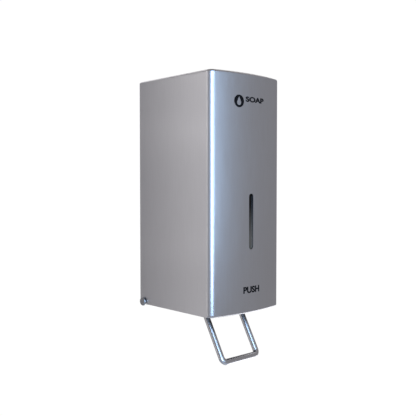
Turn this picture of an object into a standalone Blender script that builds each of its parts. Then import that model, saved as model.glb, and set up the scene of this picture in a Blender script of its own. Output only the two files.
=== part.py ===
"""Wall mounted soap dispenser: steel cover, refillable tank, lift pump and push bail.

The world is in metres, +Z up.  The wall is the plane Y = 0, the front faces -Y, and the
origin is on the back plate's rear face, half-way up the cover.  Sizes below are
millimetres, and heights are measured from the cover's bottom edge: `finish` turns both
into world metres.
"""

from math import asin, cos, pi, radians, sin, sqrt, tan

import bmesh
import bpy
from mathutils import Matrix, Vector

MM = 0.001
SHARP = radians(32)

# Sides of a round piece, by its size, and the gap left between pieces that touch
SMALL = 12
ROUND = 20
LARGE = 32
GAP = 0.3

# Cover
HEIGHT = 310.0
WIDTH = 127.6
SIDE_DEPTH = 145.0
FRONT_BULGE = 9.4
CORNER_RADIUS = 8.8
SHEET = 1.0
EDGE_ROLL = 3.0
LIP = 6.0
REAR_EDGE = -0.5
REAR_RETURN = 12.0
LOCK_HOLE = 9.3

# Rise between two outlines that would otherwise share a height
STEP = 0.02

# Sight slot in the cover's front
SLOT_WIDTH = 8.0
SLOT_LENGTH = 72.5
SLOT_MIDDLE = 119.3
PANE_HALF = 13.0
PANE_OVERLAP = 7.0
CLIP_SHEET = 0.8

# Hinge of the cover
HINGE_Y = -8.5
HINGE_H = 3.4
HINGE_SHANK = 2.6
HINGE_STUD = 2.0
HINGE_HEAD = 5.75
NOTCH_SLOPE = radians(35)

# Back plate
PLATE = 1.5
PLATE_WIDTH = 119.0
PLATE_DEPTH = 14.0
PLATE_LOW = -1.5
PLATE_TOP = 296.0
WALL_HOLE = 3.0
WALL_HOLES = ((-42, 88), (42, 88), (-42, 262), (42, 262))
BRACKET = 1.5
STUD = 2.0
FLATS = 7.0
SHELF_STUDS = ((-34, 46), (34, 46), (-34, 58), (34, 58))
CLIP_STUDS = ((-20, 236), (20, 236))
STRIKE_STUDS = ((-12, 279), (12, 279))

# Bail lever: round rod, legs leaning forward
ROD = 4.0
BAIL_HALF = 32.15
BAR_Y = -135.7
BAR_H = -63.5
BAIL_LEAN = radians(29.8)
BAIL_BEND = 6.5
LEG_TOP = 26.0
PIVOT_Y = -100.0
PIVOT_H = 20.0
SHAFT = 3.0
FINGER = 3.0

# Pump, on a vertical axis through the tank's neck
PUMP_Y = -80.0
STEM = 4.5
LIFT_FLANGE = 23.3
SPRING_LOW = 26.1
SPRING_TOP = 45.7
SHELF_TOP = 68.0
SHEET_SHELF = 2.0
CHEEK = 46.0

# Tank
TANK_HALF = 50.0
TANK_REAR = -8.0
TANK_FRONT = -136.0
TANK_LOW = 72.0
TANK_TOP = 218.0
TANK_WALL = 2.0
NECK = 16.0
MOUTH_Y = -72.0
MOUTH = 24.0
LID_Y = -41.0
LID_H = 225.2

# Lock in the cover's top
LOCK_Y = -30.0


def material(name, colour, roughness, metallic):
    """A plain Principled material."""
    made = bpy.data.materials.new(name)
    made.use_nodes = True
    shader = made.node_tree.nodes["Principled BSDF"]
    shader.inputs["Base Color"].default_value = (*colour, 1.0)
    shader.inputs["Roughness"].default_value = roughness
    shader.inputs["Metallic"].default_value = metallic
    return made


def solid(mesh_work):
    """A working object, in millimetres, from a bmesh whose faces are turned outward."""
    bmesh.ops.remove_doubles(mesh_work, verts=mesh_work.verts, dist=1e-4)
    bmesh.ops.recalc_face_normals(mesh_work, faces=mesh_work.faces)
    mesh = bpy.data.meshes.new("work")
    mesh_work.to_mesh(mesh)
    mesh_work.free()
    made = bpy.data.objects.new("work", mesh)
    bpy.context.scene.collection.objects.link(made)
    return made


def combine(target, tool, operation):
    """Apply one exact Boolean to `target` and remove the tool."""
    modifier = target.modifiers.new("combine", "BOOLEAN")
    modifier.operation = operation
    modifier.object = tool
    depsgraph = bpy.context.evaluated_depsgraph_get()
    result = bpy.data.meshes.new_from_object(target.evaluated_get(depsgraph))
    target.modifiers.clear()
    target.data = result
    bpy.data.objects.remove(tool)
    return target


def join(target, *tools):
    """Unite solids that run into each other."""
    for tool in tools:
        combine(target, tool, "UNION")
    return target


def cut(target, *tools):
    """Take solids away from `target`."""
    for tool in tools:
        combine(target, tool, "DIFFERENCE")
    return target


def finish(made, name, made_of, pivot=(0.0, 0.0, 0.0)):
    """Name a solid, put its origin at `pivot`, and turn millimetres into metres."""
    made.name = name
    mesh = made.data
    mesh.name = name
    mesh.transform(Matrix.Translation(-Vector(pivot)))
    mesh.transform(Matrix.Scale(MM, 4))
    work = bmesh.new()
    work.from_mesh(mesh)
    bmesh.ops.remove_doubles(work, verts=work.verts, dist=1e-6)
    bmesh.ops.dissolve_degenerate(work, edges=work.edges, dist=1e-6)
    work.to_mesh(mesh)
    work.free()
    mesh.shade_smooth()
    mesh.set_sharp_from_angle(angle=SHARP)
    mesh.materials.clear()
    mesh.materials.append(made_of)
    made.location = Vector((pivot[0], pivot[1], pivot[2] - HEIGHT / 2)) * MM
    return made


def block(x, y, h):
    """A box between two values on each axis."""
    work = bmesh.new()
    bmesh.ops.create_cube(work, size=1.0)
    size = Vector((x[1] - x[0], y[1] - y[0], h[1] - h[0]))
    middle = Vector((x[0] + x[1], y[0] + y[1], h[0] + h[1])) / 2
    bmesh.ops.scale(work, vec=size, verts=work.verts)
    bmesh.ops.translate(work, vec=middle, verts=work.verts)
    return solid(work)


def toward(direction):
    """The rotation that takes +Z to `direction`."""
    return Vector(direction).to_track_quat("Z", "Y").to_matrix()


def turned(profile, centre, direction=(0, 0, 1), steps=ROUND):
    """A solid of revolution from a loop of (radius, distance along the axis).

    A loop that starts and ends on the axis gets a flat face at each end instead.
    """
    work = bmesh.new()
    loop = [work.verts.new((radius, 0, along)) for radius, along in profile if radius > 0]
    edges = [work.edges.new(pair) for pair in zip(loop, loop[1:])]
    if len(loop) == len(profile):
        edges.append(work.edges.new((loop[-1], loop[0])))
    bmesh.ops.spin(work, geom=loop + edges, axis=(0, 0, 1), cent=(0, 0, 0),
                   angle=2 * pi, steps=steps)
    bmesh.ops.remove_doubles(work, verts=work.verts, dist=1e-4)
    rims = [edge for edge in work.edges if len(edge.link_faces) == 1]
    bmesh.ops.holes_fill(work, edges=rims, sides=steps)
    bmesh.ops.rotate(work, matrix=toward(direction), cent=(0, 0, 0), verts=work.verts)
    bmesh.ops.translate(work, vec=centre, verts=work.verts)
    return solid(work)


def tube_along(points, radius, resolution):
    """A round bar along a line of points, its ends filled."""
    curve = bpy.data.curves.new("work", "CURVE")
    curve.dimensions = "3D"
    curve.bevel_depth = radius
    curve.bevel_resolution = resolution
    curve.use_fill_caps = True
    spline = curve.splines.new("POLY")
    spline.points.add(len(points) - 1)
    for point, place in zip(spline.points, points):
        point.co = (*place, 1)
    guide = bpy.data.objects.new("work", curve)
    bpy.context.scene.collection.objects.link(guide)
    depsgraph = bpy.context.evaluated_depsgraph_get()
    mesh = bpy.data.meshes.new_from_object(guide.evaluated_get(depsgraph))
    bpy.data.objects.remove(guide)
    made = bpy.data.objects.new("work", mesh)
    bpy.context.scene.collection.objects.link(made)
    return made


def rod(radius, start, end, direction=(0, 0, 1), centre=(0, 0, 0), steps=ROUND):
    """A plain cylinder from `start` to `end` along an axis through `centre`."""
    outline = [(0, start), (radius, start), (radius, end), (0, end)]
    return turned(outline, centre, direction, steps)


def ring(inner, outer, start, end, direction=(0, 0, 1), centre=(0, 0, 0), steps=ROUND):
    """A plain tube."""
    outline = [(inner, start), (outer, start), (outer, end), (inner, end)]
    return turned(outline, centre, direction, steps)


def prism(outline, low, high, axis):
    """Extrude an outline along an axis; its points are the other two axes, in order."""
    place = {
        "X": lambda a, b, along: (along, a, b),
        "Y": lambda a, b, along: (a, along, b),
        "Z": lambda a, b, along: (a, b, along),
    }[axis]
    work = bmesh.new()
    face = work.faces.new([work.verts.new(place(a, b, low)) for a, b in outline])
    grown = bmesh.ops.extrude_face_region(work, geom=[face])["geom"]
    moved = [item for item in grown if isinstance(item, bmesh.types.BMVert)]
    bmesh.ops.translate(work, vec=place(0, 0, high - low), verts=moved)
    return solid(work)


def arc(centre, radius, start, end, steps):
    """Points on an arc, both ends included; angles in radians."""
    angles = [start + (end - start) * step / steps for step in range(steps + 1)]
    return [(centre[0] + radius * cos(a), centre[1] + radius * sin(a)) for a in angles]


def loft(levels):
    """A closed solid through outlines of equal length, each given with its height."""
    work = bmesh.new()
    loops = [[work.verts.new((x, y, h)) for x, y in outline] for h, outline in levels]
    count = len(loops[0])
    for lower, upper in zip(loops, loops[1:]):
        for a in range(count):
            b = (a + 1) % count
            work.faces.new((lower[a], lower[b], upper[b], upper[a]))
    work.faces.new(list(reversed(loops[0])))
    work.faces.new(loops[-1])
    return solid(work)


def hexagon(across_flats, low, high, direction, centre, hole):
    """A hexagon nut with its free side bevelled and a plain hole."""
    corner = across_flats / sqrt(3)
    bevel = 0.5
    nut = turned([(0, low), (corner, low), (corner, high - bevel),
                  (across_flats / 2, high), (0, high)], centre, direction, steps=6)
    return cut(nut, rod(hole, low - 1, high + 1, direction, centre, steps=SMALL))


# ---------------------------------------------------------------- cover

def cover_outline(inset=0.0, front_shift=0.0, rear=REAR_EDGE):
    """Plan of the cover: straight sides, rounded corners and an arched front."""
    half = WIDTH / 2
    front_radius = (half ** 2 + FRONT_BULGE ** 2) / (2 * FRONT_BULGE)
    arch_y = -SIDE_DEPTH - FRONT_BULGE + front_radius + front_shift
    reach = front_radius - CORNER_RADIUS
    corner_x = half - CORNER_RADIUS
    corner_y = arch_y - sqrt(reach ** 2 - corner_x ** 2)
    spread = asin(corner_x / reach)
    corner = CORNER_RADIUS - inset
    left = arc((-corner_x, corner_y), corner, pi, 1.5 * pi - spread, 6)
    front = arc((0, arch_y), front_radius - inset, 1.5 * pi - spread, 1.5 * pi + spread, 14)
    right = arc((corner_x, corner_y), corner, 1.5 * pi + spread, 2 * pi, 6)
    return [(-half + inset, rear)] + left + front[1:-1] + right + [(half - inset, rear)]


def cover_block():
    """The cover's outside: front bottom edge and all top edges rolled over."""
    levels = []
    for step in range(4):
        turn = radians(90 - 30 * step)
        shift = EDGE_ROLL * (1 - cos(turn))
        levels.append((EDGE_ROLL * (1 - sin(turn)), cover_outline(front_shift=shift)))
    for step in range(5):
        turn = radians(22.5 * step)
        inset = EDGE_ROLL * (1 - cos(turn))
        rear = REAR_EDGE - inset
        height = HEIGHT - EDGE_ROLL * (1 - sin(turn))
        levels.append((height, cover_outline(inset=inset, rear=rear)))
    return loft(levels)


def cover_hollow():
    """The space inside the cover, open below and at the rear up to the rear return."""
    inner_roll = EDGE_ROLL - SHEET
    past_wall = 6.0
    lip_edge = cover_outline(SHEET, LIP - SHEET, past_wall)
    levels = [(-4.0, lip_edge), (SHEET, lip_edge)]
    for step in range(4):
        turn = radians(90 - 30 * step)
        height = STEP + EDGE_ROLL - inner_roll * sin(turn)
        levels.append((height, cover_outline(SHEET, inner_roll * (1 - cos(turn)), past_wall)))
    ledge = HEIGHT - REAR_RETURN
    levels.append((ledge, cover_outline(SHEET, 0, past_wall)))
    inner_rear = REAR_EDGE - SHEET
    levels.append((ledge + STEP, cover_outline(SHEET, 0, inner_rear)))
    for step in range(5):
        turn = radians(22.5 * step)
        inset = inner_roll * (1 - cos(turn))
        height = HEIGHT - EDGE_ROLL + inner_roll * sin(turn)
        levels.append((height, cover_outline(SHEET + inset, 0, inner_rear - inset)))
    return loft(levels)


def slot_cutter():
    """A round-ended slot through the cover's front."""
    radius = SLOT_WIDTH / 2
    reach = SLOT_LENGTH / 2 - radius
    upper = arc((0, SLOT_MIDDLE + reach), radius, 0, pi, 12)
    lower = arc((0, SLOT_MIDDLE - reach), radius, pi, 2 * pi, 12)
    return prism(upper + lower, -170, -140, "Y")


def notch_cutter():
    """The slanted hinge notches: a round seat on the pin that opens forward and down."""
    radius = HINGE_SHANK + 0.4
    run_out = 30
    seat = arc((HINGE_Y, HINGE_H), radius, pi / 2 + NOTCH_SLOPE,
               -pi / 2 + NOTCH_SLOPE, 10)
    run = Vector((-cos(NOTCH_SLOPE), -sin(NOTCH_SLOPE))) * run_out
    far = [(seat[-1][0] + run.x, seat[-1][1] + run.y), (seat[0][0] + run.x, seat[0][1] + run.y)]
    return prism(seat + far, -WIDTH, WIDTH, "X")


def make_cover(steel):
    """The folded cover sheet with its slot, hinge notches and lock hole."""
    cover = cut(cover_block(), cover_hollow(), slot_cutter(), notch_cutter())
    cut(cover, rod(LOCK_HOLE, HEIGHT - 10, HEIGHT + 10, centre=(0, LOCK_Y, 0)))
    return finish(cover, "cover_shell", steel, (0, HINGE_Y, HINGE_H))


def make_window(smoked, steel):
    """The sight window behind the slot and the two strips that hold its ends."""
    inner_face = -SIDE_DEPTH - FRONT_BULGE + SHEET
    low = SLOT_MIDDLE - SLOT_LENGTH / 2 - PANE_OVERLAP
    high = SLOT_MIDDLE + SLOT_LENGTH / 2 + PANE_OVERLAP
    front = inner_face + 0.7
    back = front + 1.5
    finish(block((-PANE_HALF, PANE_HALF), (front, back), (low, high)), "sight_window", smoked)
    bridge = back + GAP
    wing = inner_face + 1.3
    turn = PANE_HALF + 1.0
    tip = PANE_HALF + 7.0
    strap = [(-tip, wing), (-turn, wing), (-turn, bridge), (turn, bridge), (turn, wing),
             (tip, wing), (tip, wing + CLIP_SHEET), (turn + CLIP_SHEET, wing + CLIP_SHEET),
             (turn + CLIP_SHEET, bridge + CLIP_SHEET), (-turn - CLIP_SHEET, bridge + CLIP_SHEET),
             (-turn - CLIP_SHEET, wing + CLIP_SHEET), (-tip, wing + CLIP_SHEET)]
    for name, middle in (("window_clip_bottom", low + 2), ("window_clip_top", high - 2)):
        finish(prism(strap, middle - 5, middle + 5, "Z"), name, steel)


# ---------------------------------------------------------------- wall side

def make_back_plate(steel):
    """A folded pan: flat back, two side flanges that carry the hinge pins, and studs."""
    half = PLATE_WIDTH / 2
    channel = [(-half, 0), (-half, -PLATE_DEPTH), (-half + PLATE, -PLATE_DEPTH),
               (-half + PLATE, -PLATE), (half - PLATE, -PLATE), (half - PLATE, -PLATE_DEPTH),
               (half, -PLATE_DEPTH), (half, 0)]
    plate = prism(channel, PLATE_LOW, PLATE_TOP, "Z")
    for x, h in WALL_HOLES:
        cut(plate, rod(WALL_HOLE, -5, 5, (0, 1, 0), (x, 0, h), steps=SMALL))
    hinge_hole = HINGE_STUD + 0.4
    cut(plate, rod(hinge_hole, -WIDTH, WIDTH, (1, 0, 0), (0, HINGE_Y, HINGE_H)))
    for x, h in SHELF_STUDS + CLIP_STUDS + STRIKE_STUDS:
        join(plate, rod(STUD, 1.0, 9.0, (0, -1, 0), (x, 0, h), steps=SMALL))
    return finish(plate, "back_plate", steel)


def make_hinge(side, word, steel):
    """A shouldered pin with a low domed head, nutted inside the pan's flange."""
    pivot = (0, HINGE_Y, HINGE_H)
    flange = PLATE_WIDTH / 2
    shoulder = 4.5
    inside = WIDTH / 2 - SHEET - GAP
    head = WIDTH / 2 + 1.0
    profile = [(0, flange - 7), (HINGE_STUD, flange - 7), (HINGE_STUD, flange + GAP),
               (shoulder, flange + GAP), (shoulder, inside), (HINGE_SHANK, inside),
               (HINGE_SHANK, head), (HINGE_HEAD, head), (HINGE_HEAD, head + 1.4),
               (5.3, head + 2.1), (4.4, head + 2.5), (0, head + 2.5)]
    finish(turned(profile, pivot, (side, 0, 0)), "hinge_pin_" + word, steel, pivot)
    inner = flange - PLATE - GAP
    nut = hexagon(FLATS, -inner, -inner + 3.2, (-side, 0, 0), pivot, HINGE_STUD + GAP)
    finish(nut, "hinge_nut_" + word, steel, pivot)


def drill(bracket, studs):
    """Clearance holes for welded studs through a bracket's rear flange."""
    for x, h in studs:
        cut(bracket, rod(STUD + GAP, 0, 8, (0, -1, 0), (x, 0, h), steps=SMALL))


def make_shelf(steel):
    """The pump shelf: rear flange, level top and two cheeks for the lever's shaft."""
    rear = -PLATE - GAP
    cheek = [(rear, SHELF_TOP), (rear, 40), (-80, 10), (-110, 10), (-116, 18),
             (-116, SHELF_TOP)]
    shelf = prism(cheek, -CHEEK, -CHEEK + SHEET_SHELF, "X")
    top = block((-CHEEK + 0.5, CHEEK - 0.5), (-115.5, rear - 0.5),
                (SHELF_TOP - SHEET_SHELF, SHELF_TOP - 0.01))
    back = block((-CHEEK + 1, CHEEK - 1), (rear - SHEET_SHELF, rear - 0.01),
                 (40.5, SHELF_TOP - 0.5))
    join(shelf, top, prism(cheek, CHEEK - SHEET_SHELF, CHEEK, "X"), back)
    cut(shelf, rod(NECK + 0.5, 60, 72, centre=(0, PUMP_Y, 0)))
    cut(shelf, rod(4.9, -60, 60, (1, 0, 0), (0, PIVOT_Y, PIVOT_H)))
    drill(shelf, SHELF_STUDS)
    return finish(shelf, "pump_shelf", steel)


def make_nuts(names, studs, face, steel):
    """One flat nut for each stud, on the sheet whose front face is at `face`."""
    for name, (x, h) in zip(names, studs):
        centre = (x, 0, h)
        nut = hexagon(FLATS, -face + GAP, -face + 3.5, (0, -1, 0), centre, STUD + GAP)
        finish(nut, name, steel, (x, face, h))


def angle_bracket(half, low, high, arm, forward):
    """A vertical flange on the back plate with a level arm reaching forward."""
    rear = -PLATE - GAP
    front = rear - BRACKET
    foot = [(front, arm), (front, low)] if arm > low else []
    outline = [(rear, low), (rear, high), (front, high), (front, arm + BRACKET),
               (forward, arm + BRACKET), (forward, arm), *foot]
    return prism(outline, -half, half, "X")


def make_tank_clip(steel):
    """The bracket over the tank's upper rear edge."""
    clip = angle_bracket(28, 219, 246, 219, -22)
    drill(clip, CLIP_STUDS)
    return finish(clip, "tank_clip", steel)


def make_strike(steel):
    """The bracket with an upstand that the lock's cam hooks behind."""
    strike = angle_bracket(18, 272, 288, 285, -18.5)
    join(strike, block((-5, 5), (-18.5, -17.0), (285.2, 293.0)))
    drill(strike, STRIKE_STUDS)
    return finish(strike, "lock_strike", steel)


# ---------------------------------------------------------------- tank

def tank_outline(inset):
    """A rounded rectangle, smaller all round by `inset`."""
    radius = 16.0 - inset
    right = TANK_HALF - inset - radius
    front = TANK_FRONT + inset + radius
    rear = TANK_REAR - inset - radius
    corners = (((right, rear), 0.0), ((-right, rear), pi / 2),
               ((-right, front), pi), ((right, front), 1.5 * pi))
    points = []
    for centre, start in corners:
        points += arc(centre, radius, start, start + pi / 2, 5)
    return points


def tank_block(inset):
    """The tank's body with rolled edges top and bottom."""
    roll = 8.0 - inset
    levels = []
    for step in range(5):
        turn = radians(90 - 22.5 * step)
        height = TANK_LOW + inset + roll * (1 - sin(turn))
        levels.append((height, tank_outline(inset + roll * (1 - cos(turn)))))
    for step in range(5):
        turn = radians(22.5 * step)
        height = TANK_TOP - inset - roll * (1 - sin(turn))
        levels.append((height, tank_outline(inset + roll * (1 - cos(turn)))))
    return loft(levels)


def make_tank(plastic):
    """The soap tank: hollow body, filler mouth, hinge ears and a neck below."""
    neck = (0, PUMP_Y, 0)
    mouth = (0, MOUTH_Y, 0)
    tank = tank_block(0)
    join(tank, rod(NECK, 53, TANK_LOW + 1, centre=neck),
         rod(MOUTH, TANK_TOP - 1, 223, centre=mouth, steps=LARGE))
    for side in (-1, 1):
        x = sorted((9 * side, 13 * side))
        join(tank, block(x, (LID_Y - 4, LID_Y + 4), (TANK_TOP - 1, LID_H + 3.6)))
    cut(tank, tank_block(TANK_WALL), rod(12.6, 50, TANK_LOW + 4, centre=neck),
        rod(20, TANK_TOP - 4, 226, centre=mouth, steps=LARGE),
        rod(1.7, -20, 20, (1, 0, 0), (0, LID_Y, LID_H), steps=SMALL))
    return finish(tank, "tank", plastic)


def make_lid(plastic, rubber, steel):
    """The filler lid with its knuckle and finger tab, its gasket and its hinge pin."""
    pivot = (0, LID_Y, LID_H)
    mouth = (0, MOUTH_Y, 0)
    lid = turned([(0, 224.8), (26, 224.8), (26, 227.0), (25.2, 227.8), (0, 227.8)],
                 mouth, steps=LARGE)
    join(lid, block((-8, 8), (-52, LID_Y - 1), (225.0, 227.6)),
         rod(3.4, -8, 8, (1, 0, 0), pivot, steps=SMALL),
         block((-9, 9), (-103, -92), (225.1, 227.4)))
    cut(lid, rod(1.7, -12, 12, (1, 0, 0), pivot, steps=SMALL))
    finish(lid, "tank_lid", plastic, pivot)
    gasket = ring(20.4, MOUTH, 223.3, 224.5, centre=mouth, steps=LARGE)
    finish(gasket, "lid_seal", rubber, pivot)
    pin = rod(1.4, -15, 15, (1, 0, 0), pivot, steps=SMALL)
    finish(pin, "lid_pin", steel, pivot)


# ---------------------------------------------------------------- pump

def make_pump_body(plastic, rubber):
    """The fixed pieces on the tank's neck: seal, threaded ring, cylinder, inlet valve."""
    axis = (0, PUMP_Y, 0)
    finish(ring(11.4, 15.8, 51.2, 52.7, centre=axis), "neck_seal", rubber, axis)
    collar = [(6.5, 46), (19.5, 46), (21, 47.5), (21, 65), (16.6, 65), (16.6, 48.5),
              (6.5, 48.5)]
    coupling = turned(collar, axis, steps=LARGE)
    for step in range(8):
        turn = 2 * pi * (step + 0.5) / 8
        groove = (21.6 * cos(turn), PUMP_Y + 21.6 * sin(turn), 0)
        cut(coupling, rod(1.3, 49, 70, centre=groove, steps=8))
    finish(coupling, "coupling_ring", plastic, axis)
    barrel = [(8.5, 48.8), (15.8, 48.8), (15.8, 50.9), (11.2, 50.9), (11.2, 95.0),
              (4.0, 95.0), (4.0, 93.0), (8.5, 93.0)]
    finish(turned(barrel, axis), "pump_cylinder", plastic, axis)
    poppet = [(0, 91.2), (6.4, 91.2), (6.4, 92.7), (2.0, 92.7), (2.0, 95.3), (5.0, 95.3),
              (2.6, 97.4), (0, 97.4)]
    finish(turned(poppet, axis), "inlet_valve", rubber, axis)


def make_piston(plastic, rubber):
    """The moving pieces: hollow stem with lift flange, cup seal, nozzle and its valve."""
    axis = (0, PUMP_Y, LIFT_FLANGE)
    centre = (0, PUMP_Y, 0)
    stem = [(2.2, 6), (STEM, 6), (STEM, LIFT_FLANGE), (14, LIFT_FLANGE),
            (14, LIFT_FLANGE + 2.5), (STEM, LIFT_FLANGE + 2.5), (STEM, 57), (7.8, 57),
            (7.8, 60), (6.0, 60), (6.0, 63), (7.8, 63), (7.8, 65), (2.2, 65)]
    finish(turned(stem, centre), "piston_stem", plastic, axis)
    cup = [(6.2, 60.3), (8.2, 60.3), (8.3, 62.7), (6.2, 62.7)]
    finish(turned(cup, centre), "piston_seal", rubber, axis)
    spout = [(2.4, -10), (3.6, -10), (6.5, 1), (6.5, 20), (4.8, 20), (4.8, 5.6),
             (4.0, 4.6), (4.0, -1.5), (2.4, -5)]
    finish(turned(spout, centre), "nozzle", plastic, axis)
    duckbill = [(0, -1.2), (1.4, -1.2), (2.6, 2.4), (3.7, 2.4), (3.7, 3.6), (1.8, 3.6),
                (0.8, -0.2), (0, -0.2)]
    finish(turned(duckbill, centre, steps=SMALL), "outlet_valve", rubber, axis)


def make_spring(steel):
    """The return spring: a wire helix round the stem, its end coils laid flat."""
    wire = 0.6
    mean = 7.4
    turns = 6
    steps = 14
    low = SPRING_LOW + wire
    high = SPRING_TOP - wire
    count = turns * steps
    points = []
    for index in range(count + 1):
        turn = 2 * pi * index / steps
        climb = min(max((index / steps - 1) / (turns - 2), 0), 1)
        closed = 1.25 * wire * 2 * (min(index / steps, 1) + max(index / steps - turns + 1, 0))
        height = low + closed + climb * (high - low - 5 * wire)
        points.append((mean * cos(turn), PUMP_Y + mean * sin(turn), height))
    spring = tube_along(points, wire, 1)
    return finish(spring, "pump_spring", steel, (0, PUMP_Y, SPRING_TOP))


# ---------------------------------------------------------------- lever

def leg_point(height):
    """The Y of a bail leg's centre line at a height."""
    return BAR_Y + (height - BAR_H) * tan(BAIL_LEAN)


def make_bail(steel):
    """One rod: up a leg, round a bend, along the crossbar and up the other leg."""
    lean = Vector((0, sin(BAIL_LEAN), cos(BAIL_LEAN)))
    length = (LEG_TOP - BAR_H) / cos(BAIL_LEAN)
    inner = BAIL_HALF - BAIL_BEND
    flat = [(-BAIL_HALF, length)]
    flat += arc((-inner, BAIL_BEND), BAIL_BEND, pi, 1.5 * pi, 8)
    flat += arc((inner, BAIL_BEND), BAIL_BEND, 1.5 * pi, 2 * pi, 8)
    flat.append((BAIL_HALF, length))
    start = Vector((0, BAR_Y, BAR_H))
    bail = tube_along([start + Vector((x, 0, 0)) + lean * y for x, y in flat], ROD, 6)
    return finish(bail, "lever_bail", steel, (0, PIVOT_Y, PIVOT_H))


def make_yoke(cast, steel):
    """The rocking piece: hub on the shaft, a socket for each leg, two lifting fingers."""
    pivot = (0, PIVOT_Y, PIVOT_H)
    lean = (0, sin(BAIL_LEAN), cos(BAIL_LEAN))
    yoke = rod(6.0, -41, 41, (1, 0, 0), pivot)
    for side in (-1, 1):
        socket = (side * BAIL_HALF, leg_point(LEG_TOP), LEG_TOP)
        join(yoke, rod(7.0, -22, 3.0, lean, socket))
        finger = [(PIVOT_Y, PIVOT_H - FINGER), (PUMP_Y, PIVOT_H - FINGER)]
        finger += arc((PUMP_Y, PIVOT_H), FINGER, -pi / 2, pi / 2, 8)
        finger += [(PUMP_Y, PIVOT_H + FINGER), (PIVOT_Y, PIVOT_H + FINGER)]
        x = sorted((8.0 * side, 12.2 * side))
        join(yoke, prism(finger, x[0], x[1], "X"))
    cut(yoke, rod(SHAFT + 0.3, -60, 60, (1, 0, 0), pivot))
    for side, word in ((-1, "left"), (1, "right")):
        socket = (side * BAIL_HALF, leg_point(LEG_TOP), LEG_TOP)
        cut(yoke, rod(ROD + 0.3, -30, 0.4, lean, socket))
        hole = (side * BAIL_HALF, leg_point(12), 12)
        cut(yoke, rod(2.2, 2, 12, (side, 0, 0), hole, steps=SMALL))
        screw = rod(1.9, ROD + 0.3, 7.2, (side, 0, 0), hole, steps=SMALL)
        cut(screw, turned([(0, 5.4), (1.1, 5.4), (1.1, 8), (0, 8)], hole, (side, 0, 0), 6))
        finish(screw, "leg_screw_" + word, steel, pivot)
    return finish(yoke, "lever_yoke", cast, pivot)


def make_shaft(steel, plastic):
    """The fixed shaft with a groove, a flanged bush and a clip at each end."""
    pivot = (0, PIVOT_Y, PIVOT_H)
    half = [(SHAFT, 47.4), (2.2, 47.4), (2.2, 48.8), (SHAFT, 48.8), (SHAFT, 50.5),
            (2.6, 51.0)]
    profile = [(0, -51.0)] + [(r, -x) for r, x in reversed(half)] + half + [(0, 51.0)]
    finish(turned(profile, pivot, (1, 0, 0)), "pivot_shaft", steel, pivot)
    for side, word in ((-1, "left"), (1, "right")):
        sleeve = [(3.3, 41.4), (6.5, 41.4), (6.5, 43.7), (4.6, 43.7), (4.6, 46.6),
                  (3.3, 46.6)]
        bush = turned(sleeve, pivot, (side, 0, 0))
        finish(bush, "pivot_bush_" + word, plastic, pivot)
        clip = ring(2.5, 5.5, 47.7, 48.5, (side, 0, 0), pivot)
        cut(clip, block((-60, 60), (PIVOT_Y - 1.9, PIVOT_Y + 1.9),
                        (PIVOT_H - 8, PIVOT_H)))
        finish(clip, "pivot_clip_" + word, steel, pivot)


# ---------------------------------------------------------------- lock

def make_lock(chrome, brass, steel):
    """The cam lock in the cover's top: body, nut, keyed plug, hooked cam and its screw."""
    axis = (0, LOCK_Y, HEIGHT)
    centre = (0, LOCK_Y, 0)
    top = HEIGHT + 0.3
    body = [(6.1, 297.5), (9.0, 297.5), (9.0, top), (11.2, top), (11.2, top + 1.6),
            (10.4, top + 2.4), (6.1, top + 2.4)]
    finish(turned(body, centre), "lock_body", chrome, axis)
    nut = hexagon(22, -HEIGHT + SHEET + 0.3, -HEIGHT + SHEET + 3.8, (0, 0, -1), centre, 9.3)
    finish(nut, "lock_nut", steel, axis)
    plug = rod(5.8, 297.0, top + 1.9, centre=centre)
    cut(plug, block((-3.4, 3.4), (LOCK_Y - 1, LOCK_Y + 1), (top - 3, top + 4)),
        rod(1.7, 290, 303, centre=centre, steps=SMALL))
    finish(plug, "lock_plug", brass, axis)
    cam = prism(arc((0, LOCK_Y), 5.5, pi / 2, 1.5 * pi, 10)
                + [(17.5, LOCK_Y - 3), (17.5, LOCK_Y + 3)], 294.7, 296.7, "Z")
    join(cam, block((14.5, 17.4), (LOCK_Y - 2.9, LOCK_Y + 2.9), (288.5, 295.5)))
    cut(cam, rod(1.9, 290, 300, centre=centre, steps=SMALL))
    finish(cam, "lock_cam", steel, axis)
    screw = turned([(0, 292.2), (2.6, 292.2), (3.2, 292.9), (3.2, 294.4), (1.4, 294.4),
                    (1.4, 302.5), (0, 302.5)], centre, steps=SMALL)
    cut(screw, block((-4, 4), (LOCK_Y - 0.4, LOCK_Y + 0.4), (291, 293.2)))
    finish(screw, "cam_screw", steel, axis)


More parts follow.
